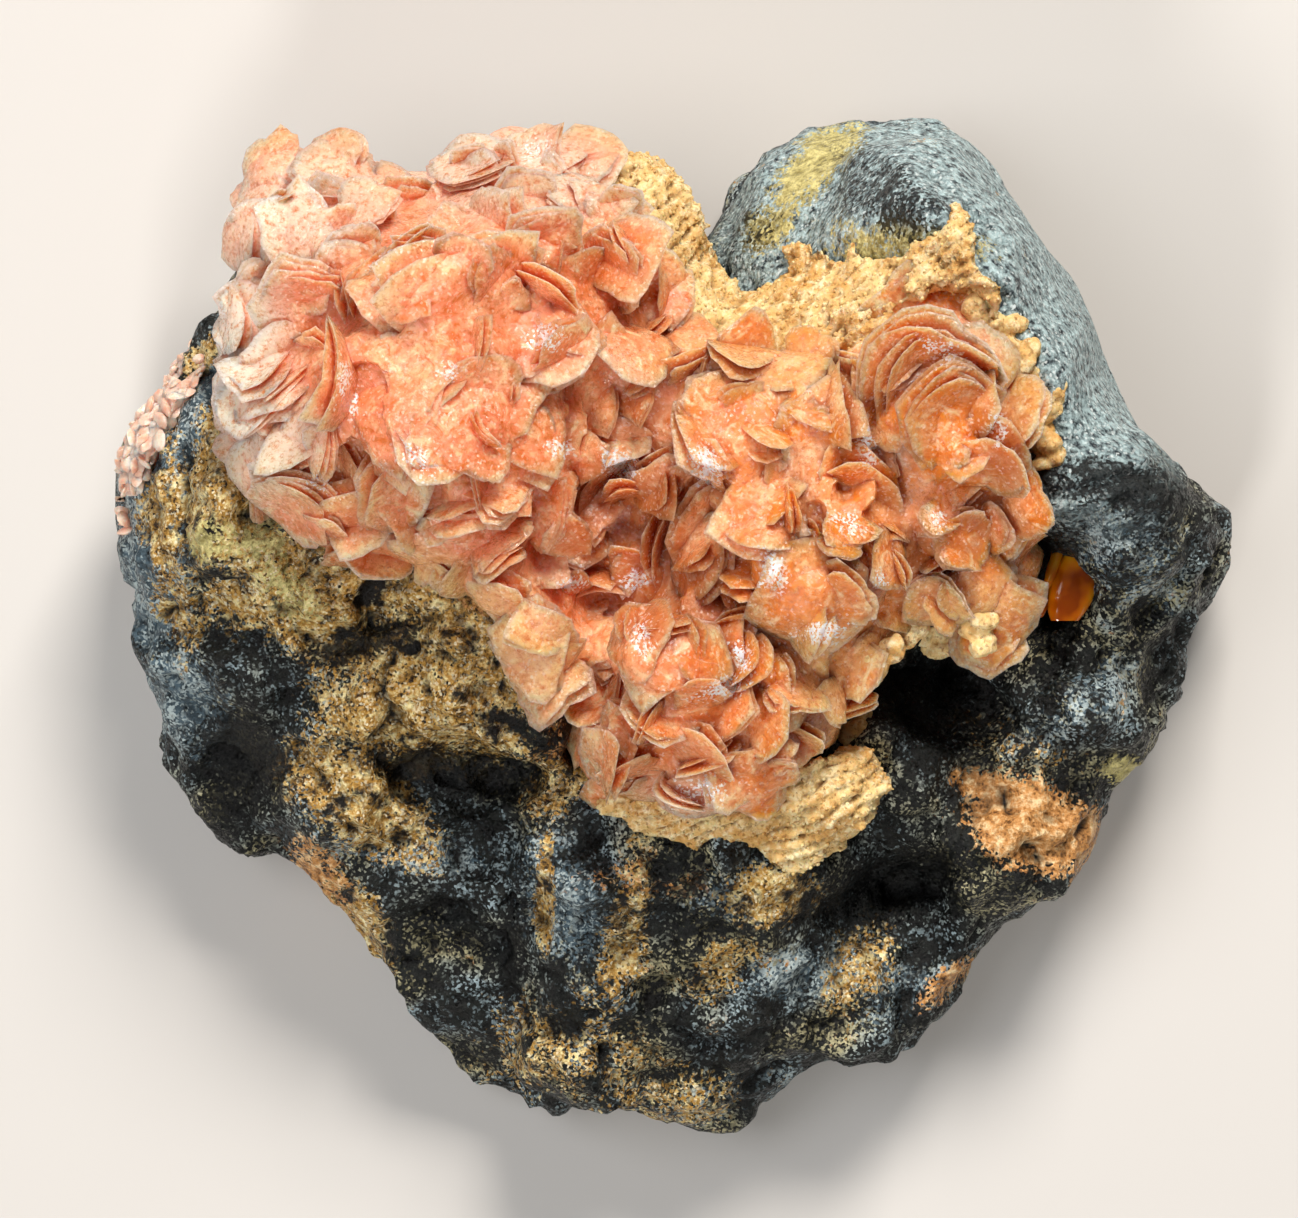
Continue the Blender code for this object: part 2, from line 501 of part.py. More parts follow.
def drop_fins(body):
    """Drops the single faces that thinning leaves standing on an edge of the closed surface."""
    bm = bmesh.new()
    bm.from_mesh(body.data)
    fins = [face for face in bm.faces if any(edge.is_boundary for edge in face.edges)]
    bmesh.ops.delete(bm, geom=fins, context="FACES")
    bm.to_mesh(body.data)
    bm.free()


def cut_flat(body):
    """Cuts the body off at the height of its base and closes it with one flat face."""
    bm = bmesh.new()
    bm.from_mesh(body.data)
    everything = bm.verts[:] + bm.edges[:] + bm.faces[:]
    bmesh.ops.bisect_plane(
        bm, geom=everything, plane_co=(0, 0, 0), plane_no=(0, 0, 1), clear_inner=True
    )
    rim = [edge for edge in bm.edges if edge.is_boundary]
    bmesh.ops.edgeloop_fill(bm, edges=rim)
    bmesh.ops.recalc_face_normals(bm, faces=bm.faces)
    bm.to_mesh(body.data)
    bm.free()


def lens(name, place, radius, tilt, lean, chance, collection):
    """One lens-shaped crystal with an uneven rim, leaning by tilt towards the lean direction."""
    bm = bmesh.new()
    bmesh.ops.create_uvsphere(bm, u_segments=LENS_SIDES, v_segments=4, radius=1.0)
    thickness = LENS_THICKNESS * chance.uniform(0.8, 1.2)
    for vertex in bm.verts:
        out = math.hypot(vertex.co.x, vertex.co.y)
        if abs(vertex.co.z) < 0.01:
            vertex.co *= 1.0 + RIM_UNEVENNESS * chance.uniform(-1.0, 1.0)
        elif out > 0.01:
            vertex.co.x *= SHOULDER_OUT / out
            vertex.co.y *= SHOULDER_OUT / out
            vertex.co.z = math.copysign(SHOULDER_UP * thickness, vertex.co.z)
        else:
            vertex.co.z = math.copysign(thickness, vertex.co.z)
    turn = Matrix.Rotation(math.radians(lean), 4, "Z")
    turn = turn @ Matrix.Rotation(math.radians(tilt), 4, "Y")
    turn = turn @ Matrix.Rotation(chance.uniform(0.0, math.tau), 4, "Z")
    bmesh.ops.transform(bm, matrix=turn @ Matrix.Scale(radius * MM, 4), verts=bm.verts)
    bmesh.ops.translate(bm, verts=bm.verts, vec=Vector(place) * MM)
    mesh = bpy.data.meshes.new(name)
    bm.to_mesh(mesh)
    bm.free()
    return object_from(name, mesh, collection)


def fill_crystals(chance):
    """Places for small crystals where the leading ones leave the mass bare."""
    taken = [(x, y) for x, y, *_ in all_rows(CRYSTALS)]
    outline = np.array(CRYSTAL_OUTLINE)
    low, high = outline.min(axis=0), outline.max(axis=0)
    found = []
    for x in np.arange(low[0], high[0], FILL_SPACING):
        for y in np.arange(low[1], high[1], FILL_SPACING):
            jitter = (chance.uniform(-FILL_JITTER, FILL_JITTER) for _ in range(2))
            spot = (x + next(jitter), y + next(jitter))
            radius = chance.uniform(*FILL_RADIUS)
            tilt = chance.uniform(*FILL_TILT)
            lean = chance.uniform(0.0, 360.0)
            inside = depth_inside(np.array([spot]), CRYSTAL_OUTLINE)[0] > FILL_FROM_EDGE
            if inside and min(math.dist(spot, other) for other in taken) > FILL_CLEAR:
                found.append((*spot, radius, tilt, lean))
    return found


def side_crystals(chance, top, stone_top):
    """Places for crystals on the steep sides of the mass, clear of the crusts."""
    outline = [Vector(point) for point in CRYSTAL_OUTLINE]
    found = []
    walked = 0.0
    for start, end in zip(outline, outline[1:] + outline[:1]):
        side = end - start
        out = Vector((side.y, -side.x)).normalized()
        if depth_inside(np.array([start + side / 2 + 0.1 * out]), CRYSTAL_OUTLINE)[0] > 0.0:
            out.negate()
        while walked < side.length:
            foot = start + side * (walked / side.length) - SIDE_INSET * out
            walked += SIDE_SPACING
            at = np.array([foot])
            crusted = max(depth_inside(at, NOTCH_OUTLINE)[0], depth_inside(at, CUSHION_OUTLINE)[0])
            if crusted > -SIDE_CLEAR:
                continue
            stone_beside = stone_top(at - 2.0 * SIDE_CLEAR * np.array(out))[0]
            height = max(stone_beside, SIDE_LOWEST) + SIDE_CLEAR
            while height < top(at)[0] - SIDE_CLEAR:
                lean = math.degrees(math.atan2(out.y, out.x)) + chance.uniform(-SIDE_TURN, SIDE_TURN)
                radius = chance.uniform(*SIDE_RADIUS)
                found.append((*foot, height, radius, chance.uniform(*SIDE_TILT), lean))
                height += SIDE_STEP
        walked -= side.length
    return found


def build_stone(parts, cutters):
    """The goethite lump, its round lobe, and the clefts of its broken face."""
    relief = Relief(all_rows(STONE_SPOTS))
    lobe_x, lobe_y, lobe_radius = STONE_LOBE

    def top(places):
        return relief(places) - hollow_depth(places)

    def bare_rock(points):
        under = smoothstep(0.5, 2.5, depth_inside(points[:, :2], CRYSTAL_OUTLINE))
        from_lobe = np.hypot(points[:, 0] - lobe_x, points[:, 1] - lobe_y)
        smooth = 1.0 - smoothstep(lobe_radius - 2.0, lobe_radius, from_lobe)
        return (1.0 - under * (points[:, 2] > COVERED_FROM)) * (1.0 - LOBE_SMOOTHING * smooth)

    stone = shaped_slab("goethite_matrix", STONE_OUTLINE, STONE_SLAB, STONE_SIDES, top, parts)
    roughen(stone, STONE_FACETS, bare_rock)
    decimate(stone, STONE_SLAB[3])
    add_cutter(stone, cutters)
    cut_flat(stone)
    return stone


def build_crust(name, outline, spots, slab, parts, cutters):
    """A granular ochre crust that lies on the stone."""
    crust = shaped_slab(name, outline, slab, STRAIGHT_SIDES, Relief(spots), parts)
    roughen(crust, CRUST_FACETS)
    decimate(crust, slab[3])
    add_cutter(crust, cutters)
    return crust


def build_crystals(parts, lenses):
    """The grown-together mass: a bed with the leading and the small crystals fused to it."""
    relief = Relief(all_rows(CRYSTAL_SPOTS))

    def top(places):
        return relief(places) - BED_DROP

    name = "rhodochrosite_cluster"
    bed = shaped_slab(name, CRYSTAL_OUTLINE, CRYSTAL_SLAB, CRYSTAL_SIDES, top, parts)
    decimate(bed, CRYSTAL_SLAB[3])
    chance = random.Random(7)
    rows = []
    for x, y, radius, tilt, lean in all_rows(CRYSTALS) + fill_crystals(chance):
        height = relief(np.array([(x, y)]))[0] - LENS_SINK * radius
        rows.append((x, y, height, radius, tilt, lean))
    rows += side_crystals(chance, relief, Relief(all_rows(STONE_SPOTS)))
    for number, (x, y, z, radius, tilt, lean) in enumerate(rows):
        lens(f"crystal_{number:03d}", (x, y, z), radius, tilt, lean, chance, lenses)
    combine(bed, "UNION", lenses)
    return bed


def build_rim(parts, cutters, lenses):
    """Small crystals along the stone's left rim."""
    relief = Relief(RIM_SPOTS)
    bed = shaped_slab("rim_crystals", RIM_OUTLINE, RIM_SLAB, STRAIGHT_SIDES, relief, parts)
    decimate(bed, RIM_SLAB[3])
    add_cutter(bed, cutters)
    chance = random.Random(11)
    for number, (x, y, radius, tilt, lean) in enumerate(RIM_CRYSTALS):
        height = relief(np.array([(x, y)]))[0] - RIM_SINK
        lens(f"rim_{number}", (x, y, height), radius, tilt, lean, chance, lenses)
    combine(bed, "UNION", lenses)
    return bed


def build_amber(parts, lenses):
    """The amber blades in the hollow beside the crystal mass."""
    chance = random.Random(5)
    blades = []
    for number, (x, y, z, radius, tilt, lean) in enumerate(AMBER_BLADES):
        name = "amber_crystals" if number == 0 else f"amber_{number}"
        where = parts if number == 0 else lenses
        blades.append(lens(name, (x, y, z), radius, tilt, lean, chance, where))
    combine(blades[0], "UNION", lenses)
    return blades[0]


def main():
    for thing in list(bpy.data.objects):
        bpy.data.objects.remove(thing)
    parts = collection_named("rhodochrosite crystal cluster")
    cutters = {name: collection_named(name + " cutters") for name in ("stone", "crust")}
    lenses = [collection_named(f"lenses {number}") for number in range(3)]

    stone = build_stone(parts, cutters["stone"])
    notch = build_crust(
        "notch_crust", NOTCH_OUTLINE, NOTCH_SPOTS, NOTCH_SLAB, parts, cutters["crust"]
    )
    cushion = build_crust(
        "cushion_crust", CUSHION_OUTLINE, CUSHION_SPOTS, CUSHION_SLAB, parts, cutters["crust"]
    )
    rim = build_rim(parts, cutters["crust"], lenses[1])
    crystals = build_crystals(parts, lenses[0])
    combine(crystals, "DIFFERENCE", cutters["crust"])
    amber = build_amber(parts, lenses[2])
    for body in (crystals, notch, cushion, rim, amber):
        combine(body, "DIFFERENCE", cutters["stone"])
        keep_largest(body)
    decimate(crystals, CLUSTER_TRIANGLES)
    drop_fins(crystals)

    for group in lenses:
        for thing in list(group.objects):
            bpy.data.objects.remove(thing)
        bpy.data.collections.remove(group)
    finishes = {
        stone: ("goethite", "2B2E30", 0.55),
        notch: ("limonite crust", "D9B060", 0.95),
        cushion: ("limonite crust on the tongue", "D2A552", 0.95),
        crystals: ("rhodochrosite", "E89070", 0.30),
        rim: ("pale rhodochrosite", "EDC0A4", 0.40),
        amber: ("amber-stained crystal", "E08A10", 0.15),
    }
    for body, (name, colour, roughness) in finishes.items():
        body.data.materials.clear()
        body.data.materials.append(material_named(name, colour, roughness))


main()
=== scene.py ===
"""Looks for the rhodochrosite crystal cluster: goethite stone, crystals, crusts and amber blades."""

import json
import math
import random

import bmesh
import bpy
import numpy as np
from mathutils import Matrix, Vector
from mathutils.bvhtree import BVHTree

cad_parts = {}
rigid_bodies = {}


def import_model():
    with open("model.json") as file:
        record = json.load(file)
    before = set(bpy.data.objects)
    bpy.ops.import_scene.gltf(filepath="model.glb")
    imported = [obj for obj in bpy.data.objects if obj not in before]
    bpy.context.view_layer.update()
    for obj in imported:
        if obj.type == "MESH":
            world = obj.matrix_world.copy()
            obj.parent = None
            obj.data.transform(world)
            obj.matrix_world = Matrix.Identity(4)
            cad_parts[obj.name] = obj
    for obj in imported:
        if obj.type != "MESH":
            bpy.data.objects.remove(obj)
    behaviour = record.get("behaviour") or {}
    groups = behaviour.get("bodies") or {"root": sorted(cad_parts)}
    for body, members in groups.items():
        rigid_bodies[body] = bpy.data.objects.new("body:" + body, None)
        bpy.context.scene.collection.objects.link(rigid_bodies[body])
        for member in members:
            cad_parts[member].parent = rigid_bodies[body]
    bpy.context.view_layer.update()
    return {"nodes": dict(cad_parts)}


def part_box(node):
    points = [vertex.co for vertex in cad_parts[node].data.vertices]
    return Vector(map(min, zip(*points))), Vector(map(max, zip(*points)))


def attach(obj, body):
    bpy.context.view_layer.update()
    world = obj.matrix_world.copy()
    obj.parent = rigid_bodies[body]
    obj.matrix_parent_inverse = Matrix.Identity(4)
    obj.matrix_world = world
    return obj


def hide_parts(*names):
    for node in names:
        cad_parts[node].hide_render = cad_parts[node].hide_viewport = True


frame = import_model()

# Goethite stone
# The real piece is a lump of black, blue-grey iron oxide, broken below and left, with one smooth
# round lobe of radiating fibres at the upper right, and ochre where the rust has washed over it.
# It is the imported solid, made finer and then broken, pitted and grained.
# Metres in a millimetre: all lengths of the pieces below are in millimetres.
MM = 0.001
STONE_VOXEL = 0.34
STONE_SMOOTHING = 6
# Size of the facets, height and number of the pattern.
STONE_FACETS = [(4.0, 1.8, 1), (1.8, 0.75, 2), (0.9, 0.36, 3)]
STONE_GRAIN = [(1.6, 0.10, 4), (0.55, 0.14, 5)]
# The way across the thin leaves of the ochre slope, and how thick each is.
SLOPE_ACROSS = (0.42, 0.80, -0.42)
SLOPE_LEAF = 0.95
# The lobe seen from above, in a row like those of the stains, and the middle of its fan of fibres.
LOBE = (14.0, 17.8, 12.8, 9.4, -52, 1.0)
LOBE_CENTRE = (11.0, 8.0, 3.0)
LOBE_RADIUS = 12.0
FIBRE_WIDTH = 0.32
# Where each crack in the lobe begins and ends.
CRACK_DEPTH = 0.55
CRACKS = [
    ((14.6, 21.6), (15.6, 18.2)), ((15.9, 17.4), (16.6, 16.2)), ((19.0, 6.6), (24.4, 8.0)),
    ((13.0, 22.6), (14.8, 21.2)), ((16.2, 21.8), (17.2, 20.6)), ((15.4, 20.2), (16.4, 19.2)),
]

# Stains, tones and painted shade of the stone, seen from above: x, y, half length, half width in
# millimetres, turn in degrees and strength.
OCHRE_STAINS = [
    (-14.1, 0.4, 9.8, 3.6, -25, 1.0), (-12.1, -4.6, 5.8, 2.6, -10, 1.0),
    (-15.6, -8.6, 4.4, 2.2, -35, 0.95), (-6.3, -13.4, 3.0, 0.5, 88, 1.1),
    (-2.3, -15.1, 4.4, 1.3, 75, 0.75), (5.0, -13.4, 2.4, 1.6, 10, 1.0),
    (2.5, -17.1, 2.4, 1.2, 40, 0.6), (-16.0, -14.6, 3.2, 1.6, -50, 0.8),
    (-5.5, -21.1, 4.6, 3.0, 0, 0.5), (-22.9, 7.0, 5.0, 1.6, 75, 0.7),
    (-21.0, 1.6, 3.0, 2.0, 20, 0.8), (9.7, -16.9, 2.8, 1.7, 60, 0.55),
    (0.0, -23.6, 5.0, 1.8, 10, 0.45), (-5.5, -7.6, 2.4, 1.4, 40, 0.8),
    (17.0, -5.6, 4.5, 1.2, -20, 0.3), (-21.4, -13.0, 1.6, 1.0, -50, 0.5),
    (-21.8, 9.2, 4.4, 1.8, 72, 1.1), (-22.6, 5.2, 2.6, 2.2, 0, 1.0), (-6.8, -1.4, 3.0, 2.2, -30, 0.9),
    (-23.2, 13.6, 1.6, 0.8, 50, 0.9), (-25.2, 5.6, 1.4, 4.4, 0, 0.8), (-24.6, 1.2, 1.2, 2.6, 15, 0.7),
]
RUST_STAINS = [
    (18.4, -10.1, 3.8, 2.2, -15, 1.1), (16.0, -8.2, 2.2, 1.0, -20, 0.8),
    (-17.6, -12.4, 2.4, 1.1, -50, 0.7), (13.5, -18.1, 2.6, 0.7, 45, 0.6),
    (-1.8, -12.6, 3.6, 1.0, -5, 0.4),
    (-9.0, 1.8, 4.6, 1.2, -25, 0.6), (-4.6, -5.2, 2.6, 1.0, 30, 0.6),
]
YELLOW_STAINS = [
    (7.2, 23.2, 3.4, 1.3, 46, 1.0), (4.8, 20.2, 1.8, 1.2, 60, 0.7), (-23.0, 4.4, 1.4, 1.4, 0, 0.8),
    (22.7, -7.1, 1.0, 0.8, 0, 1.0), (11.6, 18.9, 4.4, 1.6, -8, 0.75),
    (-18.9, 1.8, 2.4, 1.2, -30, 0.6), (-20.4, 4.4, 1.4, 1.4, 0, 0.6),
]
GREY_SHADES = [
    LOBE, (22.4, 4.0, 4.6, 3.2, -30, 0.55), (-5.4, -13.6, 2.6, 4.2, 20, 0.75),
    (3.4, -13.6, 3.4, 1.6, -5, 0.5), (6.5, -17.4, 4.0, 1.6, 10, 0.7),
    (-12.8, -11.2, 5.6, 1.1, -5, 0.6), (-26.0, 3.0, 2.0, 5.6, 0, 1.1),
    (-23.8, 10.6, 4.6, 1.3, 60, 1.2), (20.0, -3.8, 4.0, 2.0, 30, 0.5), (-25.0, 6.0, 1.8, 3.6, 0, 1.2),
    (-24.4, -3.6, 2.2, 3.6, 30, 0.9), (11.6, -18.4, 2.6, 2.0, 30, 0.6), (4.0, -23.0, 4.0, 1.6, 10, 0.4),
]
# Painted shade: black where shadows and deep recesses fall, under ledges and on the lobe's shaded face,
# with a few real dark fibrous bands.
PAINTED_SHADE_AND_DARK_BANDS = [
    (-21.6, -6.4, 3.0, 2.6, -45, 1.0), (12.8, -3.4, 4.4, 3.0, -20, 0.9),
    (11.2, -13.0, 4.4, 2.2, 20, 1.0), (-10.4, -7.2, 5.0, 1.4, -8, 1.0),
    (-15.2, -0.6, 3.8, 1.0, 18, 0.95), (-7.9, -15.8, 4.4, 0.8, 84, 0.8),
    (16.4, -13.4, 2.0, 1.6, 40, 0.4), (19.4, 3.0, 1.2, 2.6, -10, 0.9),
    (-4.8, -5.2, 2.6, 1.0, 80, 0.9), (0.4, -12.6, 2.4, 1.2, -20, 0.6), (3.6, -20.6, 5.0, 1.4, 15, 0.5),
    (11.2, 21.2, 4.4, 2.3, -35, 0.68), (22.4, 7.0, 4.4, 1.5, -12, 1.0), (-22.2, -9.4, 2.0, 3.0, -30, 0.8),
    (-11.4, -14.6, 3.6, 1.6, -40, 0.5), (18.6, 7.4, 0.8, 3.0, -8, 0.9), (18.4, 2.2, 1.6, 3.2, -15, 1.1),
    (4.2, 20.4, 2.6, 1.2, 62, 0.5),
]


def linear(colour):
    """Linear red, green, blue and alpha of an sRGB hex colour."""
    parts = [int(colour[i : i + 2], 16) / 255 for i in (1, 3, 5)]
    return [p / 12.92 if p <= 0.04045 else ((p + 0.055) / 1.055) ** 2.4 for p in parts] + [1.0]


def feed(tree, node, inputs):
    """Sets inputs: each is a value, a hex colour, a socket, or a node whose first output feeds it."""
    for name, value in inputs.items():
        if isinstance(value, bpy.types.Node):
            value = value.outputs[0]
        if isinstance(value, bpy.types.NodeSocket):
            tree.links.new(value, node.inputs[name])
        else:
            node.inputs[name].default_value = linear(value) if isinstance(value, str) else value


def add_node(tree, kind, inputs=None, **settings):
    """Adds a node with its settings and its inputs."""
    made = tree.nodes.new(kind)
    for name, value in settings.items():
        setattr(made, name, value)
    feed(tree, made, inputs or {})
    return made


def hashed(cells, seed):
    """Numbers from 0 to 1 that look random, three for each whole-number cell."""
    x, y, z = (cells[..., i].astype(np.int64) for i in range(3))
    mixed = (x * 73856093) ^ (y * 19349663) ^ (z * 83492791) ^ (seed * 2654435761)
    numbers = []
    for turn in range(3):
        mixed = (mixed ^ (mixed >> 15)) * 2246822519 & 0xFFFFFFFF
        mixed = (mixed ^ (mixed >> 13)) * 3266489917 & 0xFFFFFFFF
        mixed = (mixed ^ (mixed >> 16)) + turn
        numbers.append((mixed & 0xFFFFFF) / float(0x1000000))
    return np.stack(numbers, axis=-1)


def waves(points, size, seed):
    """Smooth noise from -1 to 1 with lumps of this size."""
    place = points / size
    corner = np.floor(place)
    part = place - corner
    part = part * part * (3.0 - 2.0 * part)
    total = np.zeros(len(points))
    for offset in np.ndindex(2, 2, 2):
        weight = np.prod(np.where(offset, part, 1.0 - part), axis=1)
        total += weight * hashed(corner + offset, seed)[:, 0]
    return 2.0 * total - 1.0


def nearest_cells(points, size, seed):
    """The two nearest cell middles of each point: distance, random numbers and offset from the middle."""
    place = points / size
    corner = np.floor(place)
    count = len(points)
    nearest = [[np.full(count, 9.0), np.zeros((count, 3)), np.zeros((count, 3))] for _ in range(2)]
    for offset in np.ndindex(3, 3, 3):
        cell = corner + offset - 1.0
        from_middle = place - cell - hashed(cell, seed)
        distance = np.linalg.norm(from_middle, axis=1)
        picks = hashed(cell, seed + 77)
        first, second = nearest
        nearer = distance < first[0]
        middling = ~nearer & (distance < second[0])
        for i, value in enumerate((distance, picks, from_middle)):
            second[i][nearer] = first[i][nearer]
            second[i][middling] = value[middling]
            first[i][nearer] = value[nearer]
    return nearest


def broken(points, size, seed, bevel=0.12):
    """Height of broken rock, about -0.5 to 0.5: each facet has a level and a lean of its own."""
    first, second = nearest_cells(points, size, seed)
    levels = [
        0.5 * (picks[:, 0] - 0.5) + 1.2 * ((picks - 0.5) * offset).sum(axis=1)
        for _, picks, offset in (first, second)
    ]
    share = 0.5 + 0.5 * np.clip((second[0] - first[0]) / bevel, 0.0, 1.0)
    return levels[0] * share + levels[1] * (1.0 - share)


def smoothstep(low, high, value):
    """Rises from 0 at low to 1 at high, with soft ends."""
    part = np.clip((value - low) / (high - low), 0.0, 1.0)
    return part * part * (3.0 - 2.0 * part)


def patches(points, rows):
    """How strongly soft-edged ovals seen from above cover each point, from 0 to 1."""
    cover = np.zeros(len(points))
    for x, y, half_length, half_width, turn, strength in rows:
        angle = math.radians(turn)
        east, north = points[:, 0] - x, points[:, 1] - y
        u = (east * math.cos(angle) + north * math.sin(angle)) / half_length
        v = (north * math.cos(angle) - east * math.sin(angle)) / half_width
        cover = np.maximum(cover, strength * (1.0 - smoothstep(0.3, 1.6, np.hypot(u, v))))
    return cover


def object_of(name, data):
    """A new object in the scene with this data."""
    made = bpy.data.objects.new(name, data)
    bpy.context.scene.collection.objects.link(made)
    return made


def bake(body):
    """Gives the body the mesh that its modifiers make."""
    bpy.context.view_layer.update()
    graph = bpy.context.evaluated_depsgraph_get()
    before = body.data
    body.data = bpy.data.meshes.new_from_object(body.evaluated_get(graph))
    body.modifiers.clear()
    bpy.data.meshes.remove(before)


def finer_copy(node, name, voxel, smoothing):
    """An even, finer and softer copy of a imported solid."""
    mesh = frame["nodes"][node].data.copy()
    bm = bmesh.new()
    bm.from_mesh(mesh)
    bmesh.ops.remove_doubles(bm, verts=bm.verts, dist=1e-6)
    bm.to_mesh(mesh)
    bm.free()
    mesh.materials.clear()
    body = object_of(name, mesh)
    remesh = body.modifiers.new("even", "REMESH")
    remesh.mode = "VOXEL"
    remesh.voxel_size = voxel * MM
    soften = body.modifiers.new("soft", "SMOOTH")
    soften.factor = 0.5
    soften.iterations = smoothing
    bake(body)
    return body


def points_of(mesh):
    """Points in millimetres and normals of a mesh."""
    flat = np.empty(len(mesh.vertices) * 3, np.float32)
    mesh.vertices.foreach_get("co", flat)
    normals = np.empty(len(mesh.vertices) * 3, np.float32)
    mesh.vertex_normals.foreach_get("vector", normals)
    return flat.reshape(-1, 3).astype(float) / MM, normals.reshape(-1, 3).astype(float)


def set_points(mesh, points):
    """Puts the mesh's points at these places, in millimetres."""
    mesh.vertices.foreach_set("co", (points * MM).astype(np.float32).ravel())
    mesh.update()


def set_value(mesh, name, values):
    """Stores a number for each point, for the material to read."""
    attribute = mesh.attributes.new(name, "FLOAT", "POINT")
    attribute.data.foreach_set("value", values.astype(np.float32))


def kept_in_box(points, node, spare=0.02):
    """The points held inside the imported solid's box."""
    low, high = (np.array(corner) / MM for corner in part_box(node))
    return np.clip(points, low + spare, high - spare)


def ends_of(mesh):
    """The numbers of the two points of each edge, in two rows."""
    ends = np.empty(len(mesh.edges) * 2, np.int32)
    mesh.edges.foreach_get("vertices", ends)
    return ends.reshape(-1, 2).T


def spread(values, mesh, steps):
    """The values averaged a few times with those of the neighbouring points."""
    a, b = ends_of(mesh)
    count = np.bincount(a, minlength=len(values)) + np.bincount(b, minlength=len(values))
    for _ in range(steps):
        total = np.bincount(a, values[b], len(values)) + np.bincount(b, values[a], len(values))
        values = 0.5 * values + 0.5 * total / np.maximum(count, 1)
    return values


def hollowness(mesh, steps):
    """How far each point lies under its surroundings, in millimetres."""
    points, normals = points_of(mesh)
    level = np.stack([spread(points[:, i], mesh, steps) for i in range(3)], axis=1)
    return ((level - points) * normals).sum(axis=1)


def line_distance(points, start, end):
    """Distance of each point from a line seen from above."""
    start, end = np.array(start), np.array(end)
    along = end - start
    part = np.clip(((points[:, :2] - start) @ along) / (along @ along), 0.0, 1.0)
    return np.linalg.norm(points[:, :2] - start - part[:, None] * along, axis=1)


stone = finer_copy("goethite_matrix", "stone", STONE_VOXEL, STONE_SMOOTHING)
points, normals = points_of(stone.data)
lobe = patches(points, [LOBE]) * smoothstep(4.0, 7.0, points[:, 2])
rough = 1.0 - 0.94 * smoothstep(0.2, 0.6, lobe)
move = sum(height * broken(points, size, seed) for size, height, seed in STONE_FACETS)
move += sum(height * waves(points, size, seed) for size, height, seed in STONE_GRAIN)
move *= rough

# The ochre slope splits into thin leaves, and the lobe into fibres that fan out from its middle.
slope = patches(points, OCHRE_STAINS[:3])
across = points @ np.array(SLOPE_ACROSS) + 0.9 * waves(points, 3.0, 11)
leaf = np.mod(across / SLOPE_LEAF, 1.0)
move += 0.5 * slope * (leaf - 0.5) * (0.6 + 0.4 * waves(points, 1.7, 12))
from_middle = points - np.array(LOBE_CENTRE)
fan = from_middle / np.linalg.norm(from_middle, axis=1)[:, None] * LOBE_RADIUS / FIBRE_WIDTH
move += smoothstep(0.2, 0.7, lobe) * (0.07 * waves(fan, 1.0, 21) + 0.05 * waves(points, 0.8, 22))
wander = 0.35 * waves(points, 1.2, 23)
for start, end in CRACKS:
    near = 1.0 - smoothstep(0.05, 0.34, np.abs(line_distance(points, start, end) + wander))
    move -= CRACK_DEPTH * near * smoothstep(0.1, 0.4, lobe)

# The foot stays flat, the sides move less than the top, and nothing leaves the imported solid's box.
move *= smoothstep(0.0, 1.2, points[:, 2]) * (0.4 + 0.6 * smoothstep(0.1, 0.7, normals[:, 2]))
low, high = (np.array(corner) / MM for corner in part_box("goethite_matrix"))
ahead = np.where(normals > 0.0, high - points, points - low)
room = (ahead / np.maximum(np.abs(normals), 0.05)).min(axis=1)
points = points + normals * np.minimum(move, 0.8 * room)[:, None]
set_points(stone.data, kept_in_box(points, "goethite_matrix"))
points, normals = points_of(stone.data)
# How far each point lies in a hollow, for the painted shade down in the hollows.
set_value(stone.data, "hollow", hollowness(stone.data, 12))
set_value(stone.data, "ochre", patches(points, OCHRE_STAINS))
set_value(stone.data, "rust", patches(points, RUST_STAINS))
set_value(stone.data, "yellow", patches(points, YELLOW_STAINS))
set_value(stone.data, "grey", patches(points, GREY_SHADES))
set_value(stone.data, "painted_shade_and_dark", patches(points, PAINTED_SHADE_AND_DARK_BANDS))
set_value(stone.data, "lobe", lobe)
stone.data.shade_smooth()


def new_material(name):
    """A material, its nodes, its shader and the place on the piece in metres."""
    made = bpy.data.materials.new(name)
    made.use_nodes = True
    tree = made.node_tree
    shader = tree.nodes["Principled BSDF"]
    place = add_node(tree, "ShaderNodeTexCoord").outputs["Object"]
    return made, tree, shader, place


def laid_over(tree, base, *coats):
    """The base under coats of a colour, a number and two limits, 0 and 1 where none are given.

    A coat is in full where its number reaches the second limit, and absent beyond the first.
    """
    for colour, where, *limits in coats:
        low, high = limits or (0.0, 1.0)
        share = add_node(tree, "ShaderNodeMapRange", {"Value": where, "From Min": low, "From Max": high})
        mixed = add_node(tree, "ShaderNodeMix", {0: share, 6: base, 7: colour}, data_type="RGBA")
        base = mixed.outputs[2]
    return base


def grain_by_grain(tree, cover, lumps, pick, contrast=5.0):
    """Which grains a stain takes: all where it covers fully, and fewer towards its edge."""
    lumpy = add_node(tree, "ShaderNodeMath", {0: lumps, 1: 2.4, 2: -1.45}, operation="MULTIPLY_ADD")
    raised = add_node(tree, "ShaderNodeMath", {0: cover, 1: 1.5, 2: lumpy}, operation="MULTIPLY_ADD")
    dealt = add_node(tree, "ShaderNodeMath", {0: pick, 1: -0.8, 2: raised}, operation="MULTIPLY_ADD")
    sharp = add_node(
        tree, "ShaderNodeMath", {0: dealt, 1: contrast}, operation="MULTIPLY", use_clamp=True
    )
    return sharp.outputs[0]


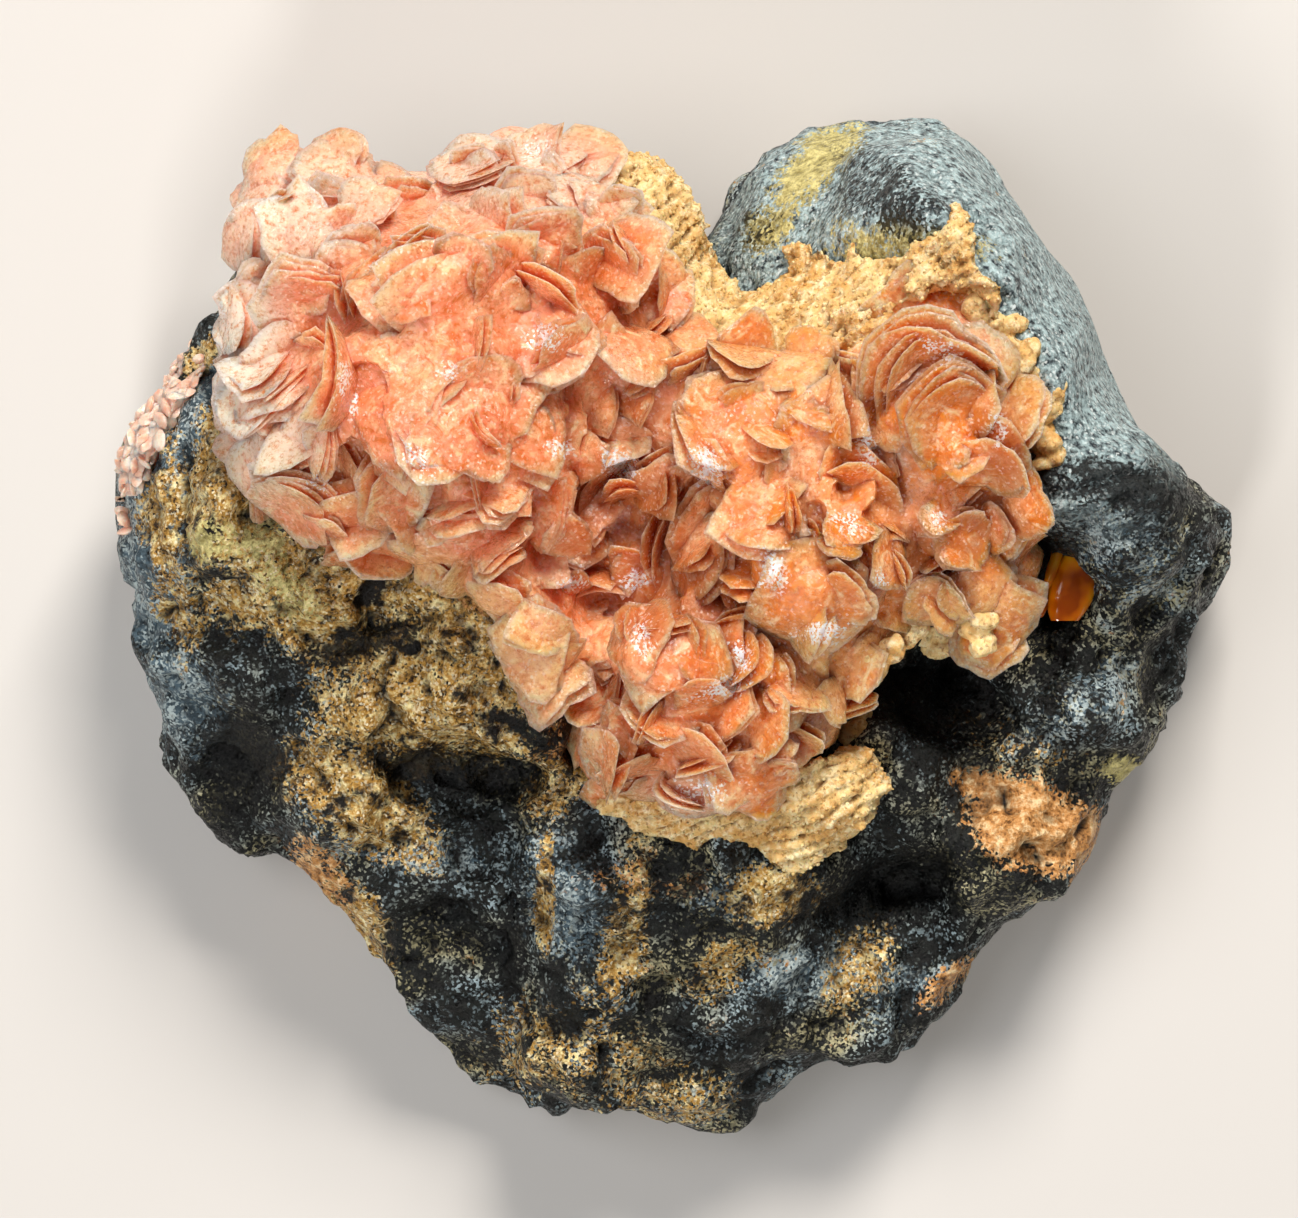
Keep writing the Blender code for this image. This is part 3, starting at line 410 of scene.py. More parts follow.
def glinting(tree, shader, grains, strength, heights, depth):
    """Turns each grain's face its own way, to catch the light singly, and adds relief of this depth."""
    centred = add_node(
        tree, "ShaderNodeVectorMath", {0: grains.outputs["Color"], 1: (0.5, 0.5, 0.5)}, operation="SUBTRACT"
    )
    scaled = add_node(tree, "ShaderNodeVectorMath", {0: centred, "Scale": strength}, operation="SCALE")
    level = add_node(tree, "ShaderNodeNewGeometry").outputs["Normal"]
    leant = add_node(tree, "ShaderNodeVectorMath", {0: level, 1: scaled}, operation="ADD")
    facing = add_node(tree, "ShaderNodeVectorMath", {0: leant}, operation="NORMALIZE")
    relief = add_node(
        tree,
        "ShaderNodeBump",
        {"Height": heights, "Strength": 0.8, "Distance": depth * MM, "Normal": facing},
    )
    feed(tree, shader, {"Normal": relief})


# Goethite, broken: black iron oxide with fine grains that glint blue-grey, drawn 0.13 mm wide so that
# they show, and soft ochre limonite dust dealt out grain by grain where water has left it.
goethite, tree, shader, place = new_material("goethite")
speck = add_node(tree, "ShaderNodeTexVoronoi", {"Vector": place, "Scale": 1 / (0.13 * MM)})
pick = add_node(tree, "ShaderNodeSeparateColor", {"Color": speck.outputs["Color"]})
deal = add_node(tree, "ShaderNodeTexVoronoi", {"Vector": place, "Scale": 1 / (0.16 * MM)})
deal_pick = add_node(tree, "ShaderNodeSeparateColor", {"Color": deal.outputs["Color"]})
grain = add_node(
    tree, "ShaderNodeTexNoise", {"Vector": place, "Scale": 1 / (0.7 * MM), "Detail": 6.0, "Roughness": 0.75}
)
lumps = add_node(
    tree, "ShaderNodeTexNoise", {"Vector": place, "Scale": 1 / (2.6 * MM), "Detail": 6.0, "Roughness": 0.65}
)
tint = add_node(
    tree, "ShaderNodeTexNoise", {"Vector": place, "Scale": 1 / (5.0 * MM), "Detail": 2.0}
)
cover = {
    name: add_node(tree, "ShaderNodeAttribute", attribute_name=name).outputs["Fac"]
    for name in ("hollow", "ochre", "rust", "yellow", "grey", "painted_shade_and_dark", "lobe")
}
# Pale blue-grey specks where lit is high: partly pale grains, partly painted glints of single grains.
lit = add_node(
    tree, "ShaderNodeMath", {0: lumps, 1: 2.4, 2: pick.outputs["Red"]}, operation="MULTIPLY_ADD"
)
lit_tone = laid_over(tree, "#9DB0B6", ("#B9B28C", tint, 0.42, 0.58))
base = laid_over(tree, "#020303", ("#1C201C", grain, 0.42, 0.70), (lit_tone, lit, 1.85, 2.3))
grey = grain_by_grain(tree, cover["grey"], lumps, deal_pick.outputs["Red"], 2.5)
grey_tone = laid_over(tree, "#162127", ("#5A6F7A", grain, 0.38, 0.62), ("#B4C2C2", lit, 1.65, 2.15))
base = laid_over(tree, base, (grey_tone, grey))

# The lobe is paler and finely streaked along its fibres.
centred = add_node(
    tree,
    "ShaderNodeVectorMath",
    {0: place, 1: tuple(value * MM for value in LOBE_CENTRE)},
    operation="SUBTRACT",
)
aim = add_node(tree, "ShaderNodeVectorMath", {0: centred}, operation="NORMALIZE")
fanned = add_node(
    tree, "ShaderNodeVectorMath", {0: aim, "Scale": LOBE_RADIUS / FIBRE_WIDTH}, operation="SCALE"
)
fibre_place = add_node(
    tree,
    "ShaderNodeVectorMath",
    {0: centred, 1: (0.5 / MM,) * 3, 2: fanned.outputs[0]},
    operation="MULTIPLY_ADD",
)
fibres = add_node(
    tree, "ShaderNodeTexNoise", {"Vector": fibre_place, "Scale": 1.0, "Detail": 3.0, "Roughness": 0.65}
)
lobe_tone = laid_over(
    tree, "#15212A", ("#B2CACD", fibres, 0.36, 0.62), ("#E2ECEC", pick.outputs["Green"], 0.80, 1.1)
)
base = laid_over(tree, base, (lobe_tone, cover["lobe"], 0.15, 0.5))

# Ochre, rust and yellow dust, then black patches, mostly painted shade with a few dark bands, and
# painted shade down in the hollows.
ochre_tone = laid_over(
    tree,
    "#2A1606",
    ("#B88A3C", grain, 0.38, 0.48),
    ("#F0E0A4", grain, 0.50, 0.62),
    ("#FBF4D2", pick.outputs["Green"], 0.70, 1.1),
    ("#0C0906", pick.outputs["Blue"], 0.74, 1.0),
    ("#120C06", lumps, 0.48, 0.40),
)
rust_tone = laid_over(tree, "#4A280C", ("#C88E50", grain, 0.36, 0.48), ("#F6D8A6", grain, 0.50, 0.62))
yellow_tone = laid_over(tree, "#84773E", ("#DCD08C", grain, 0.36, 0.58))
base = laid_over(
    tree,
    base,
    (ochre_tone, grain_by_grain(tree, cover["ochre"], lumps, deal_pick.outputs["Blue"])),
    (rust_tone, grain_by_grain(tree, cover["rust"], lumps, deal_pick.outputs["Red"])),
    (yellow_tone, grain_by_grain(tree, cover["yellow"], lumps, deal_pick.outputs["Green"], 2.5)),
    ("#020303", grain_by_grain(tree, cover["painted_shade_and_dark"], lumps, deal_pick.outputs["Green"], 2.0), 0.0, 1.05),
    # Painted shade down in the hollows.
    ("#040302", cover["hollow"], 0.03, 0.36),
)
gloss = add_node(tree, "ShaderNodeMapRange", {"Value": pick.outputs["Blue"], "To Min": 0.3, "To Max": 0.7})
feed(tree, shader, {"Base Color": base, "Roughness": gloss, "Specular IOR Level": 0.3})
glinting(tree, shader, speck, 0.9, grain.outputs["Fac"], 0.25)
stone.data.materials.append(goethite)
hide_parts("goethite_matrix")
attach(stone, "root")

# Rhodochrosite crystals
# Lens-shaped crystals grown in bundles that split like petals, pink at the left and orange at the
# right, with painted light paling their thin rims and painted shade deep orange down between them.
# Each leading crystal is a bundle of leaves, and lesser bundles fill the bed between them.
BED_VOXEL = 0.46
BED_SMOOTHING = 3
BED_SHRINK = 0.1
# Points around a leaf, its inner rings, and half its thickness in parts of its radius.
LEAF_SIDES = 20
LEAF_RINGS = (0.72,)
LEAF_THICKNESS = 0.15
# Degrees between a bundle's leaves, and how much lower and smaller each is than the last.
LEAF_SPLAY = 7
LEAF_STEP = 0.12
LEAF_SHRINK = 0.03
# Size of a leaf, and how deep a bundle sits in the bed, in parts of the crystal's radius.
LEAF_GROWTH = 1.14
LEADING_SUNK = 0.34
LESSER_SUNK = 0.3
# A crystal with more tilt than this shows its edge, and has only two leaves.
STEEP_TILT = 50
LEAF_SPARE = 0.03
LESSER_SPACING = 2.1
# x, y, radius, tilt from flat, and the way the face leans.
LEADING = [
    (-19.8, 22.6, 1.9, 35, 120), (-16.8, 22.6, 1.9, 40, 80), (-13.8, 22.0, 1.6, 45, 60),
    (-21.4, 19.4, 1.7, 50, 180), (-18.6, 19.9, 2.0, 25, 150), (-16.3, 18.3, 2.1, 40, 130),
    (-12.6, 18.5, 1.5, 50, -40), (-18.1, 16.1, 2.2, 35, -90), (-10.3, 15.9, 3.9, 36, -45),
    (-16.3, 12.4, 2.6, 65, 0), (-17.6, 9.6, 2.1, 45, 180), (-13.3, 6.7, 2.2, 40, -60),
    (-6.3, 5.9, 2.1, 30, 180), (-6.3, 19.1, 1.9, 30, -90), (-6.3, 16.8, 1.7, 55, -120),
    (-3.6, 20.6, 1.9, 35, 170), (-3.0, 17.9, 1.9, 40, -150), (-0.1, 16.9, 1.7, 75, 0),
    (-6.3, 14.3, 2.2, 20, 90), (-3.8, 14.7, 1.2, 40, 45), (-10.8, 11.2, 3.8, 20, 60),
    (-7.5, 10.4, 3.0, 25, 20), (-13.6, 10.4, 3.0, 30, 150), (-10.1, 4.8, 2.5, 40, -70),
    (-8.6, 7.2, 2.5, 25, 80), (-18.6, 6.4, 2.0, 50, -120), (-20.3, 7.9, 1.7, 35, -160),
    (-16.1, 5.4, 1.8, 55, -90), (-12.1, 3.9, 1.8, 60, -90), (-8.6, 1.4, 1.8, 60, -110),
    (-6.8, -0.6, 1.7, 40, -90), (-5.7, -1.7, 1.4, 45, -60), (-21.6, 14.9, 1.8, 55, 170),
    (-21.8, 11.4, 1.6, 50, 180), (-19.8, 12.2, 1.8, 30, 130), (-9.8, 23.1, 1.9, 50, 110),
    (-6.3, 23.4, 2.1, 50, 90), (-4.5, 21.5, 1.5, 50, 60), (-0.3, 7.0, 2.0, 62, 165),
    (-2.6, 9.4, 1.6, 25, -100), (-1.6, 11.5, 1.4, 40, 160), (-2.4, 6.9, 1.4, 70, -80),
    (-3.8, 5.7, 1.4, 30, 120), (-1.9, 3.2, 1.5, 35, -100), (-4.7, 2.1, 0.9, 50, -60),
    (-3.6, -0.6, 1.5, 35, 150), (1.7, 8.3, 1.9, 66, -135), (3.1, 10.2, 2.7, 15, 100),
    (2.5, 7.4, 0.9, 50, -90), (1.4, 3.4, 1.9, 40, 170), (4.7, 3.0, 1.6, 58, 170),
    (6.0, 5.7, 1.3, 65, 180), (8.0, 9.5, 2.4, 25, -30), (8.7, 5.0, 1.4, 40, 60),
    (4.5, 5.4, 2.3, 20, 90), (6.8, 1.4, 2.6, 30, -80), (9.7, -1.4, 1.3, 35, -60),
    (10.7, 3.4, 1.6, 55, 0), (12.3, 13.0, 2.9, 40, -70), (13.7, 10.7, 2.5, 30, -45),
    (10.9, 10.9, 1.8, 40, 180), (15.3, 8.1, 2.1, 52, -95), (13.2, 8.7, 1.7, 45, -160),
    (17.8, 5.9, 1.8, 42, -170), (13.2, 5.4, 1.0, 40, 60), (14.5, 4.5, 1.4, 35, -45),
    (15.4, 1.9, 1.7, 30, -60), (13.2, 1.4, 1.4, 40, -100), (13.2, 15.9, 2.3, 25, 90),
    (0.9, 13.9, 2.0, 45, 100), (3.5, 13.3, 1.8, 60, 80), (6.0, 13.1, 1.7, 58, 100),
    (-0.5, -1.2, 2.7, 18, 130), (1.6, -1.4, 1.7, 30, 20), (1.4, -3.2, 1.6, 56, -80),
    (-3.2, -3.6, 1.5, 50, 170), (-2.5, -5.0, 1.4, 25, -170), (-1.1, -4.7, 1.3, 60, -30),
    (3.4, 0.5, 1.3, 58, -90), (3.6, -1.6, 1.4, 62, 160), (2.3, -5.5, 1.9, 30, -45),
    (-1.9, -6.8, 1.9, 62, -70), (-3.3, -8.3, 1.1, 40, -110), (1.4, -8.2, 1.7, 35, -90),
    (4.0, -7.6, 2.1, 30, -60), (6.5, -5.5, 1.4, 30, -20), (4.7, -4.7, 1.5, 40, 180),
    (6.0, -3.1, 1.8, 40, 60), (8.0, -3.6, 1.4, 50, 10),
]
# Whitish sugary crystals on the outer rim, and peach ones along the lower edge.
PALE_PATCHES = [
    (-18.6, 20.8, 5.0, 3.2, 15, 1.0), (-21.2, 13.0, 2.6, 6.4, 5, 1.3), (-8.0, 22.8, 6.0, 2.8, -5, 1.0),
    (-19.8, 9.4, 2.8, 2.6, 0, 1.1), (-1.2, 21.6, 3.0, 1.6, -35, 0.9), (0.6, -8.6, 2.6, 1.4, -10, 0.7),
    (15.8, 14.6, 2.6, 1.4, -20, 0.6),
]
PEACH_PATCHES = [
    (-10.0, 1.2, 6.0, 1.8, -32, 1.0), (-6.0, -1.6, 2.2, 2.2, 0, 1.0), (5.0, 13.2, 6.5, 1.6, 0, 0.8),
    (7.6, -3.0, 1.6, 4.0, 10, 0.9), (-17.4, 6.8, 4.6, 1.6, -20, 0.7), (10.6, -0.6, 2.6, 1.2, 30, 0.8),
    (14.6, 1.2, 3.2, 1.5, 0, 0.9), (16.6, 13.2, 1.4, 3.6, 20, 0.8),
]
# Painted shade, deep orange-brown, where the crystals are thick and light is lost between them.
PAINTED_SHADE_PATCHES = [
    (-2.6, 5.4, 3.6, 3.0, 30, 1.0), (13.6, 4.6, 3.0, 2.6, 0, 0.6), (0.8, 1.4, 3.0, 1.4, 60, 0.7),
    (-1.2, 11.0, 2.2, 1.6, 40, 0.6), (-1.4, 17.6, 1.6, 0.8, -45, 0.8), (15.6, 11.0, 1.0, 3.4, 12, 0.6),
    (-3.2, 2.2, 2.4, 1.4, -40, 0.7), (2.0, -6.6, 3.0, 0.8, -10, 0.5), (16.8, 8.4, 1.2, 2.6, 10, 0.9),
    (11.0, 6.4, 1.8, 0.7, -30, 0.8), (15.4, 5.4, 2.4, 1.2, -10, 1.0), (-1.0, 0.6, 1.2, 1.8, 0, 0.8),
]
# Painted highlights: single faces that throw the light back, painted pearly white and glittering.
PAINTED_GLINT_PATCHES = [
    (-2.6, 8.1, 1.0, 0.6, -30, 1.0), (1.7, 8.1, 0.7, 1.1, 30, 1.0), (-1.8, 2.4, 0.9, 0.4, 0, 1.0),
    (-4.8, 2.2, 0.6, 0.4, 30, 0.9), (5.0, 2.9, 0.6, 1.1, 25, 0.9), (8.7, 5.2, 0.9, 0.5, -30, 0.9),
    (7.5, -0.2, 1.4, 0.5, 8, 1.0), (9.7, 8.9, 0.5, 0.9, 10, 0.8), (-6.3, 14.4, 1.0, 0.7, 20, 0.9),
    (-16.0, 11.9, 0.4, 1.5, 12, 0.9), (-12.6, 8.4, 1.2, 0.5, -20, 0.8), (-11.0, 12.7, 0.8, 0.5, 0, 0.7),
    (-5.6, 8.9, 0.7, 0.5, 0, 0.8), (-6.8, 23.9, 0.9, 0.6, 30, 0.8), (-1.5, -0.6, 0.5, 0.9, 20, 1.0),
    (2.6, -3.0, 1.3, 0.5, 15, 0.9), (3.5, -1.4, 0.4, 0.8, 20, 0.9), (16.2, 9.9, 0.4, 0.8, 10, 0.9),
    (13.5, 13.9, 1.4, 0.4, -12, 0.8), (13.2, 5.4, 0.4, 0.5, 0, 0.9), (-14.0, 18.2, 0.8, 0.5, 30, 0.7),
    (1.5, -8.1, 1.6, 0.6, 10, 0.7), (-17.6, 7.2, 0.8, 0.4, -20, 0.6), (10.4, 2.4, 0.5, 0.4, 0, 0.8),
]


def mesh_of(bm, name):
    """A mesh of this name from the working mesh, which is freed."""
    mesh = bpy.data.meshes.new(name)
    bm.to_mesh(mesh)
    bm.free()
    return mesh


def leaf_crystal(radius, thickness, bend, chance, sides=LEAF_SIDES, rings=LEAF_RINGS):
    """A lens with a sharp uneven rim and a slight bend, as a mesh of its own."""
    phases = [chance.uniform(0.0, math.tau) for _ in range(3)]
    half_side = math.pi / chance.choice((3, 3, 4, 5))
    bm = bmesh.new()

    def ring(part, height):
        """A ring of points whose outline lies between a circle and a polygon of three to five sides."""
        made = []
        for i in range(sides):
            angle = math.tau * i / sides
            cut = math.cos(half_side) / math.cos((angle + phases[1]) % (2 * half_side) - half_side)
            uneven = 0.06 * math.cos(3 * angle + phases[0]) + 0.85 * (cut - 0.78)
            uneven += chance.uniform(-0.06, 0.06) if part == 1.0 else 0.0
            out = part * (1.0 + uneven * part)
            x, y = out * math.cos(angle), out * math.sin(angle)
            z = height + bend * (x * math.cos(phases[2]) + y * math.sin(phases[2])) ** 2
            made.append(bm.verts.new((x * radius, y * radius, z * radius)))
        return made

    def profile(part):
        """Half the thickness at this part of the radius."""
        return thickness * (1.0 - part**2.1) ** 0.85

    rows = [ring(part, profile(part)) for part in rings]
    rows.append(ring(1.0, 0.0))
    rows += [ring(part, -profile(part)) for part in reversed(rings)]
    top = bm.verts.new((0.0, 0.0, thickness * radius))
    bottom = bm.verts.new((0.0, 0.0, -thickness * radius))
    for i in range(sides):
        j = (i + 1) % sides
        bm.faces.new((top, rows[0][i], rows[0][j]))
        bm.faces.new((bottom, rows[-1][j], rows[-1][i]))
        for upper, lower in zip(rows, rows[1:]):
            bm.faces.new((upper[i], lower[i], lower[j], upper[j]))
    bmesh.ops.scale(bm, vec=(MM, MM, MM), verts=bm.verts)
    return mesh_of(bm, "leaf")


def turned(degrees, axis):
    """A turn about an axis."""
    return Matrix.Rotation(math.radians(degrees), 4, axis)


def moved(x, y, z):
    """A move in millimetres."""
    return Matrix.Translation(Vector((x, y, z)) * MM)


def tree_of(mesh):
    """The mesh's triangles, for rays to be cast at."""
    mesh.calc_loop_triangles()
    corners = [vertex.co.copy() for vertex in mesh.vertices]
    return BVHTree.FromPolygons(corners, [tuple(part.vertices) for part in mesh.loop_triangles])


def top_height(tree, x, y):
    """Height of the solid's top over a place, in millimetres, or nothing beside the solid."""
    hit = tree.ray_cast(Vector((x * MM, y * MM, 0.05)), Vector((0, 0, -1)))
    return hit[0].z / MM if hit[0] else None


def islands_of(mesh):
    """The number of the separate island that each point belongs to."""
    a, b = ends_of(mesh)
    label = np.arange(len(mesh.vertices))
    while True:
        before = label.copy()
        lower = np.minimum(label[a], label[b])
        np.minimum.at(label, a, lower)
        np.minimum.at(label, b, lower)
        label = label[label]
        if (label == before).all():
            return np.unique(label, return_inverse=True)[1]


def drop_loose(mesh, reach, trees=()):
    """Deletes each island further than reach from the largest one and from the other surfaces."""
    group = islands_of(mesh)
    main = np.bincount(group).argmax()
    mesh.calc_loop_triangles()
    corners = [vertex.co.copy() for vertex in mesh.vertices]
    shell = [tuple(part.vertices) for part in mesh.loop_triangles if group[part.vertices[0]] == main]
    surfaces = [BVHTree.FromPolygons(corners, shell), *trees]
    kept = {main}
    for corner, number in zip(corners, group):
        if number not in kept:
            near = [surface.find_nearest(corner, reach * MM)[0] for surface in surfaces]
            if any(spot is not None for spot in near):
                kept.add(number)
    bm = bmesh.new()
    bm.from_mesh(mesh)
    loose = [vertex for vertex, number in zip(bm.verts, group) if number not in kept]
    bmesh.ops.delete(bm, geom=loose, context="VERTS")
    bm.to_mesh(mesh)
    bm.free()


def hold_islands(mesh, low, high):
    """Moves each loose crystal that would leave the box back into it."""
    points, _ = points_of(mesh)
    group = islands_of(mesh)
    shift = np.zeros((group.max() + 1, 3))
    for axis in range(3):
        top = np.full(len(shift), -1e9)
        bottom = np.full(len(shift), 1e9)
        np.maximum.at(top, group, points[:, axis])
        np.minimum.at(bottom, group, points[:, axis])
        shift[:, axis] = np.minimum(high[axis] - top, 0.0) + np.maximum(low[axis] - bottom, 0.0)
    set_points(mesh, points + shift[group])


def openness(body, reach, rays=14):
    """How free the space over each point is within reach, from 0 to 1."""
    points, normals = points_of(body.data)
    tree = tree_of(body.data)
    golden = math.pi * (3.0 - math.sqrt(5.0))
    cap = []
    for i in range(rays):
        up = 1.0 - 0.86 * (i + 0.5) / rays
        out = math.sqrt(1.0 - up * up)
        cap.append(Vector((out * math.cos(i * golden), out * math.sin(i * golden), up)))
    free = np.zeros(len(points))
    for i, (point, normal) in enumerate(zip(points, normals)):
        axis = Vector(normal)
        turn = Vector((0, 0, 1)).rotation_difference(axis)
        start = Vector(point * MM) + axis * (0.05 * MM)
        for ray in cap:
            distance = tree.ray_cast(start, turn @ ray, reach * MM)[3]
            clear = reach if distance is None else min(reach, distance / MM)
            free[i] += clear / reach / rays
    return spread(free, body.data, 1)


cluster_low, cluster_high = (np.array(corner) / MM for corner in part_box("rhodochrosite_cluster"))
crystals = finer_copy("rhodochrosite_cluster", "crystal_mass", BED_VOXEL, BED_SMOOTHING)
points, normals = points_of(crystals.data)
upward = smoothstep(-0.2, 0.3, normals[:, 2])
points += normals * (upward * (0.3 * broken(points, 2.0, 31) - BED_SHRINK))[:, None]
set_points(crystals.data, points)
cluster_tree = tree_of(frame["nodes"]["rhodochrosite_cluster"].data)

chance = random.Random(3)
lesser = []
for x in np.arange(cluster_low[0], cluster_high[0], LESSER_SPACING):
    for y in np.arange(cluster_low[1], cluster_high[1], LESSER_SPACING):
        spot = (x + chance.uniform(-1.0, 1.0), y + chance.uniform(-1.0, 1.0))
        shape = (chance.uniform(0.9, 2.1), chance.uniform(20, 65), chance.uniform(0, 360))
        if top_height(cluster_tree, *spot) is not None:
            lesser.append((*spot, *shape))
leaves = bpy.data.collections.new("leaves")
bpy.context.scene.collection.children.link(leaves)
for x, y, radius, tilt, lean in LEADING + lesser:
    height = top_height(cluster_tree, x, y)
    leading = (x, y, radius, tilt, lean) in LEADING
    steep = tilt > STEEP_TILT
    count = 2
    if leading and not steep:
        count = 5 if radius > 2.4 else 4 if radius > 1.5 else 2
    sunk = LEADING_SUNK if leading else LESSER_SUNK
    set_down = moved(x, y, height - sunk * radius) @ turned(lean, "Z") @ turned(tilt, "Y")
    splay = LEAF_SPLAY * chance.choice((-1, 1, 1)) * (2 if steep else 1)
    bend = chance.uniform(-0.4, 0.4)
    outline = chance.random()
    heading = chance.uniform(0, 360)
    for number in range(count):
        size = LEAF_GROWTH * radius * (1.0 - LEAF_SHRINK * number) * chance.uniform(0.82, 1.08)
        thickness = LEAF_THICKNESS * chance.uniform(0.8, 1.3)
        mesh = leaf_crystal(size, thickness, bend, random.Random(outline))
        opened = moved(radius, 0, 0) @ turned(splay * number, "Y") @ moved(-radius, 0, 0)
        rolled = turned(chance.uniform(-4, 4) * number, "X")
        skewed = rolled @ turned(heading + chance.uniform(-12, 12), "Z")
        mesh.transform(set_down @ opened @ moved(0, 0, -LEAF_STEP * radius * number) @ skewed)
        hold_islands(mesh, cluster_low + LEAF_SPARE, cluster_high - LEAF_SPARE)
        leaves.objects.link(bpy.data.objects.new("leaf", mesh))
join = crystals.modifiers.new("grown together", "BOOLEAN")
join.operation = "UNION"
join.solver = "MANIFOLD"
join.operand_type = "COLLECTION"
join.collection = leaves
bake(crystals)
# Scraps of leaves that touch nothing, and closed gaps inside the mass, are left out.
drop_loose(crystals.data, 0.0)
for leaf_object in list(leaves.objects):
    bpy.data.objects.remove(leaf_object)
bpy.data.collections.remove(leaves)

rhodochrosite, tree, shader, place = new_material("rhodochrosite")
crystals.data.shade_smooth()
crystals.data.set_sharp_from_angle(angle=math.radians(30))
points, _ = points_of(crystals.data)
# The open space over each point sets the painted shade down between the crystals, and rim sets the painted
# light on their thin rims.
set_value(crystals.data, "open", openness(crystals, 2.4))
set_value(crystals.data, "rim", -hollowness(crystals.data, 2))
set_value(crystals.data, "pale", patches(points, PALE_PATCHES))
set_value(crystals.data, "peach", patches(points, PEACH_PATCHES))
set_value(crystals.data, "deep", patches(points, PAINTED_SHADE_PATCHES))
set_value(crystals.data, "painted_glint", patches(points, PAINTED_GLINT_PATCHES))

# Rhodochrosite: translucent manganese carbonate, vitreous to pearly, its faces finely etched so
# that they glitter like sugar where they catch the light.
etch = add_node(tree, "ShaderNodeTexVoronoi", {"Vector": place, "Scale": 1 / (0.12 * MM)})
cloud = add_node(
    tree, "ShaderNodeTexNoise", {"Vector": place, "Scale": 1 / (2.6 * MM), "Detail": 4.0, "Roughness": 0.6}
)
grain = add_node(
    tree, "ShaderNodeTexNoise", {"Vector": place, "Scale": 1 / (0.35 * MM), "Detail": 4.0, "Roughness": 0.7}
)
cover = {
    name: add_node(tree, "ShaderNodeAttribute", attribute_name=name).outputs["Fac"]
    for name in ("open", "rim", "pale", "peach", "deep", "painted_glint")
}
veils = add_node(
    tree,
    "ShaderNodeTexNoise",
    {"Vector": place, "Scale": 1 / (1.5 * MM), "Detail": 5.0, "Roughness": 0.55, "Distortion": 2.2},
)
where = add_node(tree, "ShaderNodeSeparateXYZ", {0: place})
pinkness = add_node(
    tree, "ShaderNodeMath", {0: cloud, 1: -12 * MM, 2: where.outputs["X"]}, operation="MULTIPLY_ADD"
)
pink_to_orange = (-14 * MM, 1 * MM)
# Tone of the painted shade between the crystals, deep orange at the left and darker at the right.
painted_crevice_shade_tone = laid_over(tree, "#D26A3A", ("#8E2E02", pinkness, *pink_to_orange))
painted_shade_closed = add_node(tree, "ShaderNodeMath", {0: 1.0, 1: cover["open"]}, operation="SUBTRACT")
etch_pick = add_node(tree, "ShaderNodeSeparateColor", {"Color": etch.outputs["Color"]})
# Painted highlights: the glinting faces, broken into etched grains.
painted_glint_grains = add_node(
    tree, "ShaderNodeMath", {0: cover["painted_glint"], 1: etch_pick.outputs["Green"]}, operation="ADD"
)
base = laid_over(
    tree,
    "#F3936A",
    ("#E8842C", pinkness, *pink_to_orange),
    ("#FABC8C", cloud, 0.44, 0.72),
    ("#FDD3A4", veils, 0.53, 0.72),
    ("#D66E2C", veils, 0.46, 0.32),
    ("#EDBC7E", cover["peach"], 0.2, 1.3),
    ("#F8DEC8", cover["pale"], 0.2, 1.3),
    # Painted shade where the crystals are thick.
    ("#A8541C", cover["deep"], 0.2, 1.4),
    # Painted shade where little space is open over the surface.
    (painted_crevice_shade_tone, painted_shade_closed, 0.25, 0.8),
    # Painted light: thin rims paler, as if lit through.
    ("#FFC294", cover["rim"], 0.1, 0.7),
    ("#CE7A44", grain, 0.52, 0.30),
    # Pale etched grains all over, partly painted glints.
    ("#FFEAD6", etch_pick.outputs["Green"], 0.84, 1.3),
    # Painted highlight: the glinting faces near white.
    ("#FFF8F2", painted_glint_grains, 1.0, 1.5),
)
feed(tree, shader, {
    "Base Color": base, "Subsurface Weight": 0.9, "Subsurface Radius": (1.0, 0.65, 0.45),
    "Subsurface Scale": 1.5 * MM, "Transmission Weight": 0.08, "Roughness": 0.14, "IOR": 1.6,
})
glinting(tree, shader, etch, 0.5, grain.outputs["Fac"], 0.12)
crystals.data.materials.clear()
crystals.data.materials.append(rhodochrosite)
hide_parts("rhodochrosite_cluster")
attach(crystals, "root")

# Limonite crusts
# Powdery ochre iron hydroxide that grew on the stone and the crystals: heaped in the notch and along
# the crystals' upper edge, and as a cushion at their lower end. Small cream lumps of it follow the
# crystals' right and lower right edges.
CRUST_VOXEL = 0.26
CRUST_SMOOTHING = 8
# Grains further than this from the crust are left out.
CRUST_REACH = 0.06
LUMP_VOXEL = 0.13
# x, y and radius of each group of four cream lumps.
CREAM_LUMPS = [
    (17.9, 12.5, 1.1), (18.3, 11.4, 1.2), (18.5, 10.0, 1.1), (18.6, 8.6, 1.0), (17.4, 13.6, 1.1),
    (16.6, 14.6, 1.1), (15.6, 15.8, 1.0), (18.2, 12.0, 0.9), (18.1, 9.4, 0.8), (11.9, 0.4, 1.2),
    (13.4, -0.2, 1.2), (15.0, -0.2, 1.2), (10.6, -0.9, 1.1), (16.6, 0.2, 1.0), (10.0, -2.3, 1.0),
    (9.5, -3.8, 0.9), (9.1, -5.2, 0.9),
]

# The crusts' round grains, and further on the small rim crystals, are scattered by Geometry Nodes:
# "Lowest" is the height that they begin at, and "Tip" the most that each is turned at random.
SCATTER_INPUTS = (
    ("Spacing", "NodeSocketFloat"), ("Smallest", "NodeSocketFloat"), ("Largest", "NodeSocketFloat"),
    ("Lowest", "NodeSocketFloat"), ("Tip", "NodeSocketVector"), ("Shape", "NodeSocketObject"),
    ("Finish", "NodeSocketMaterial"), ("Seed", "NodeSocketInt"),
)


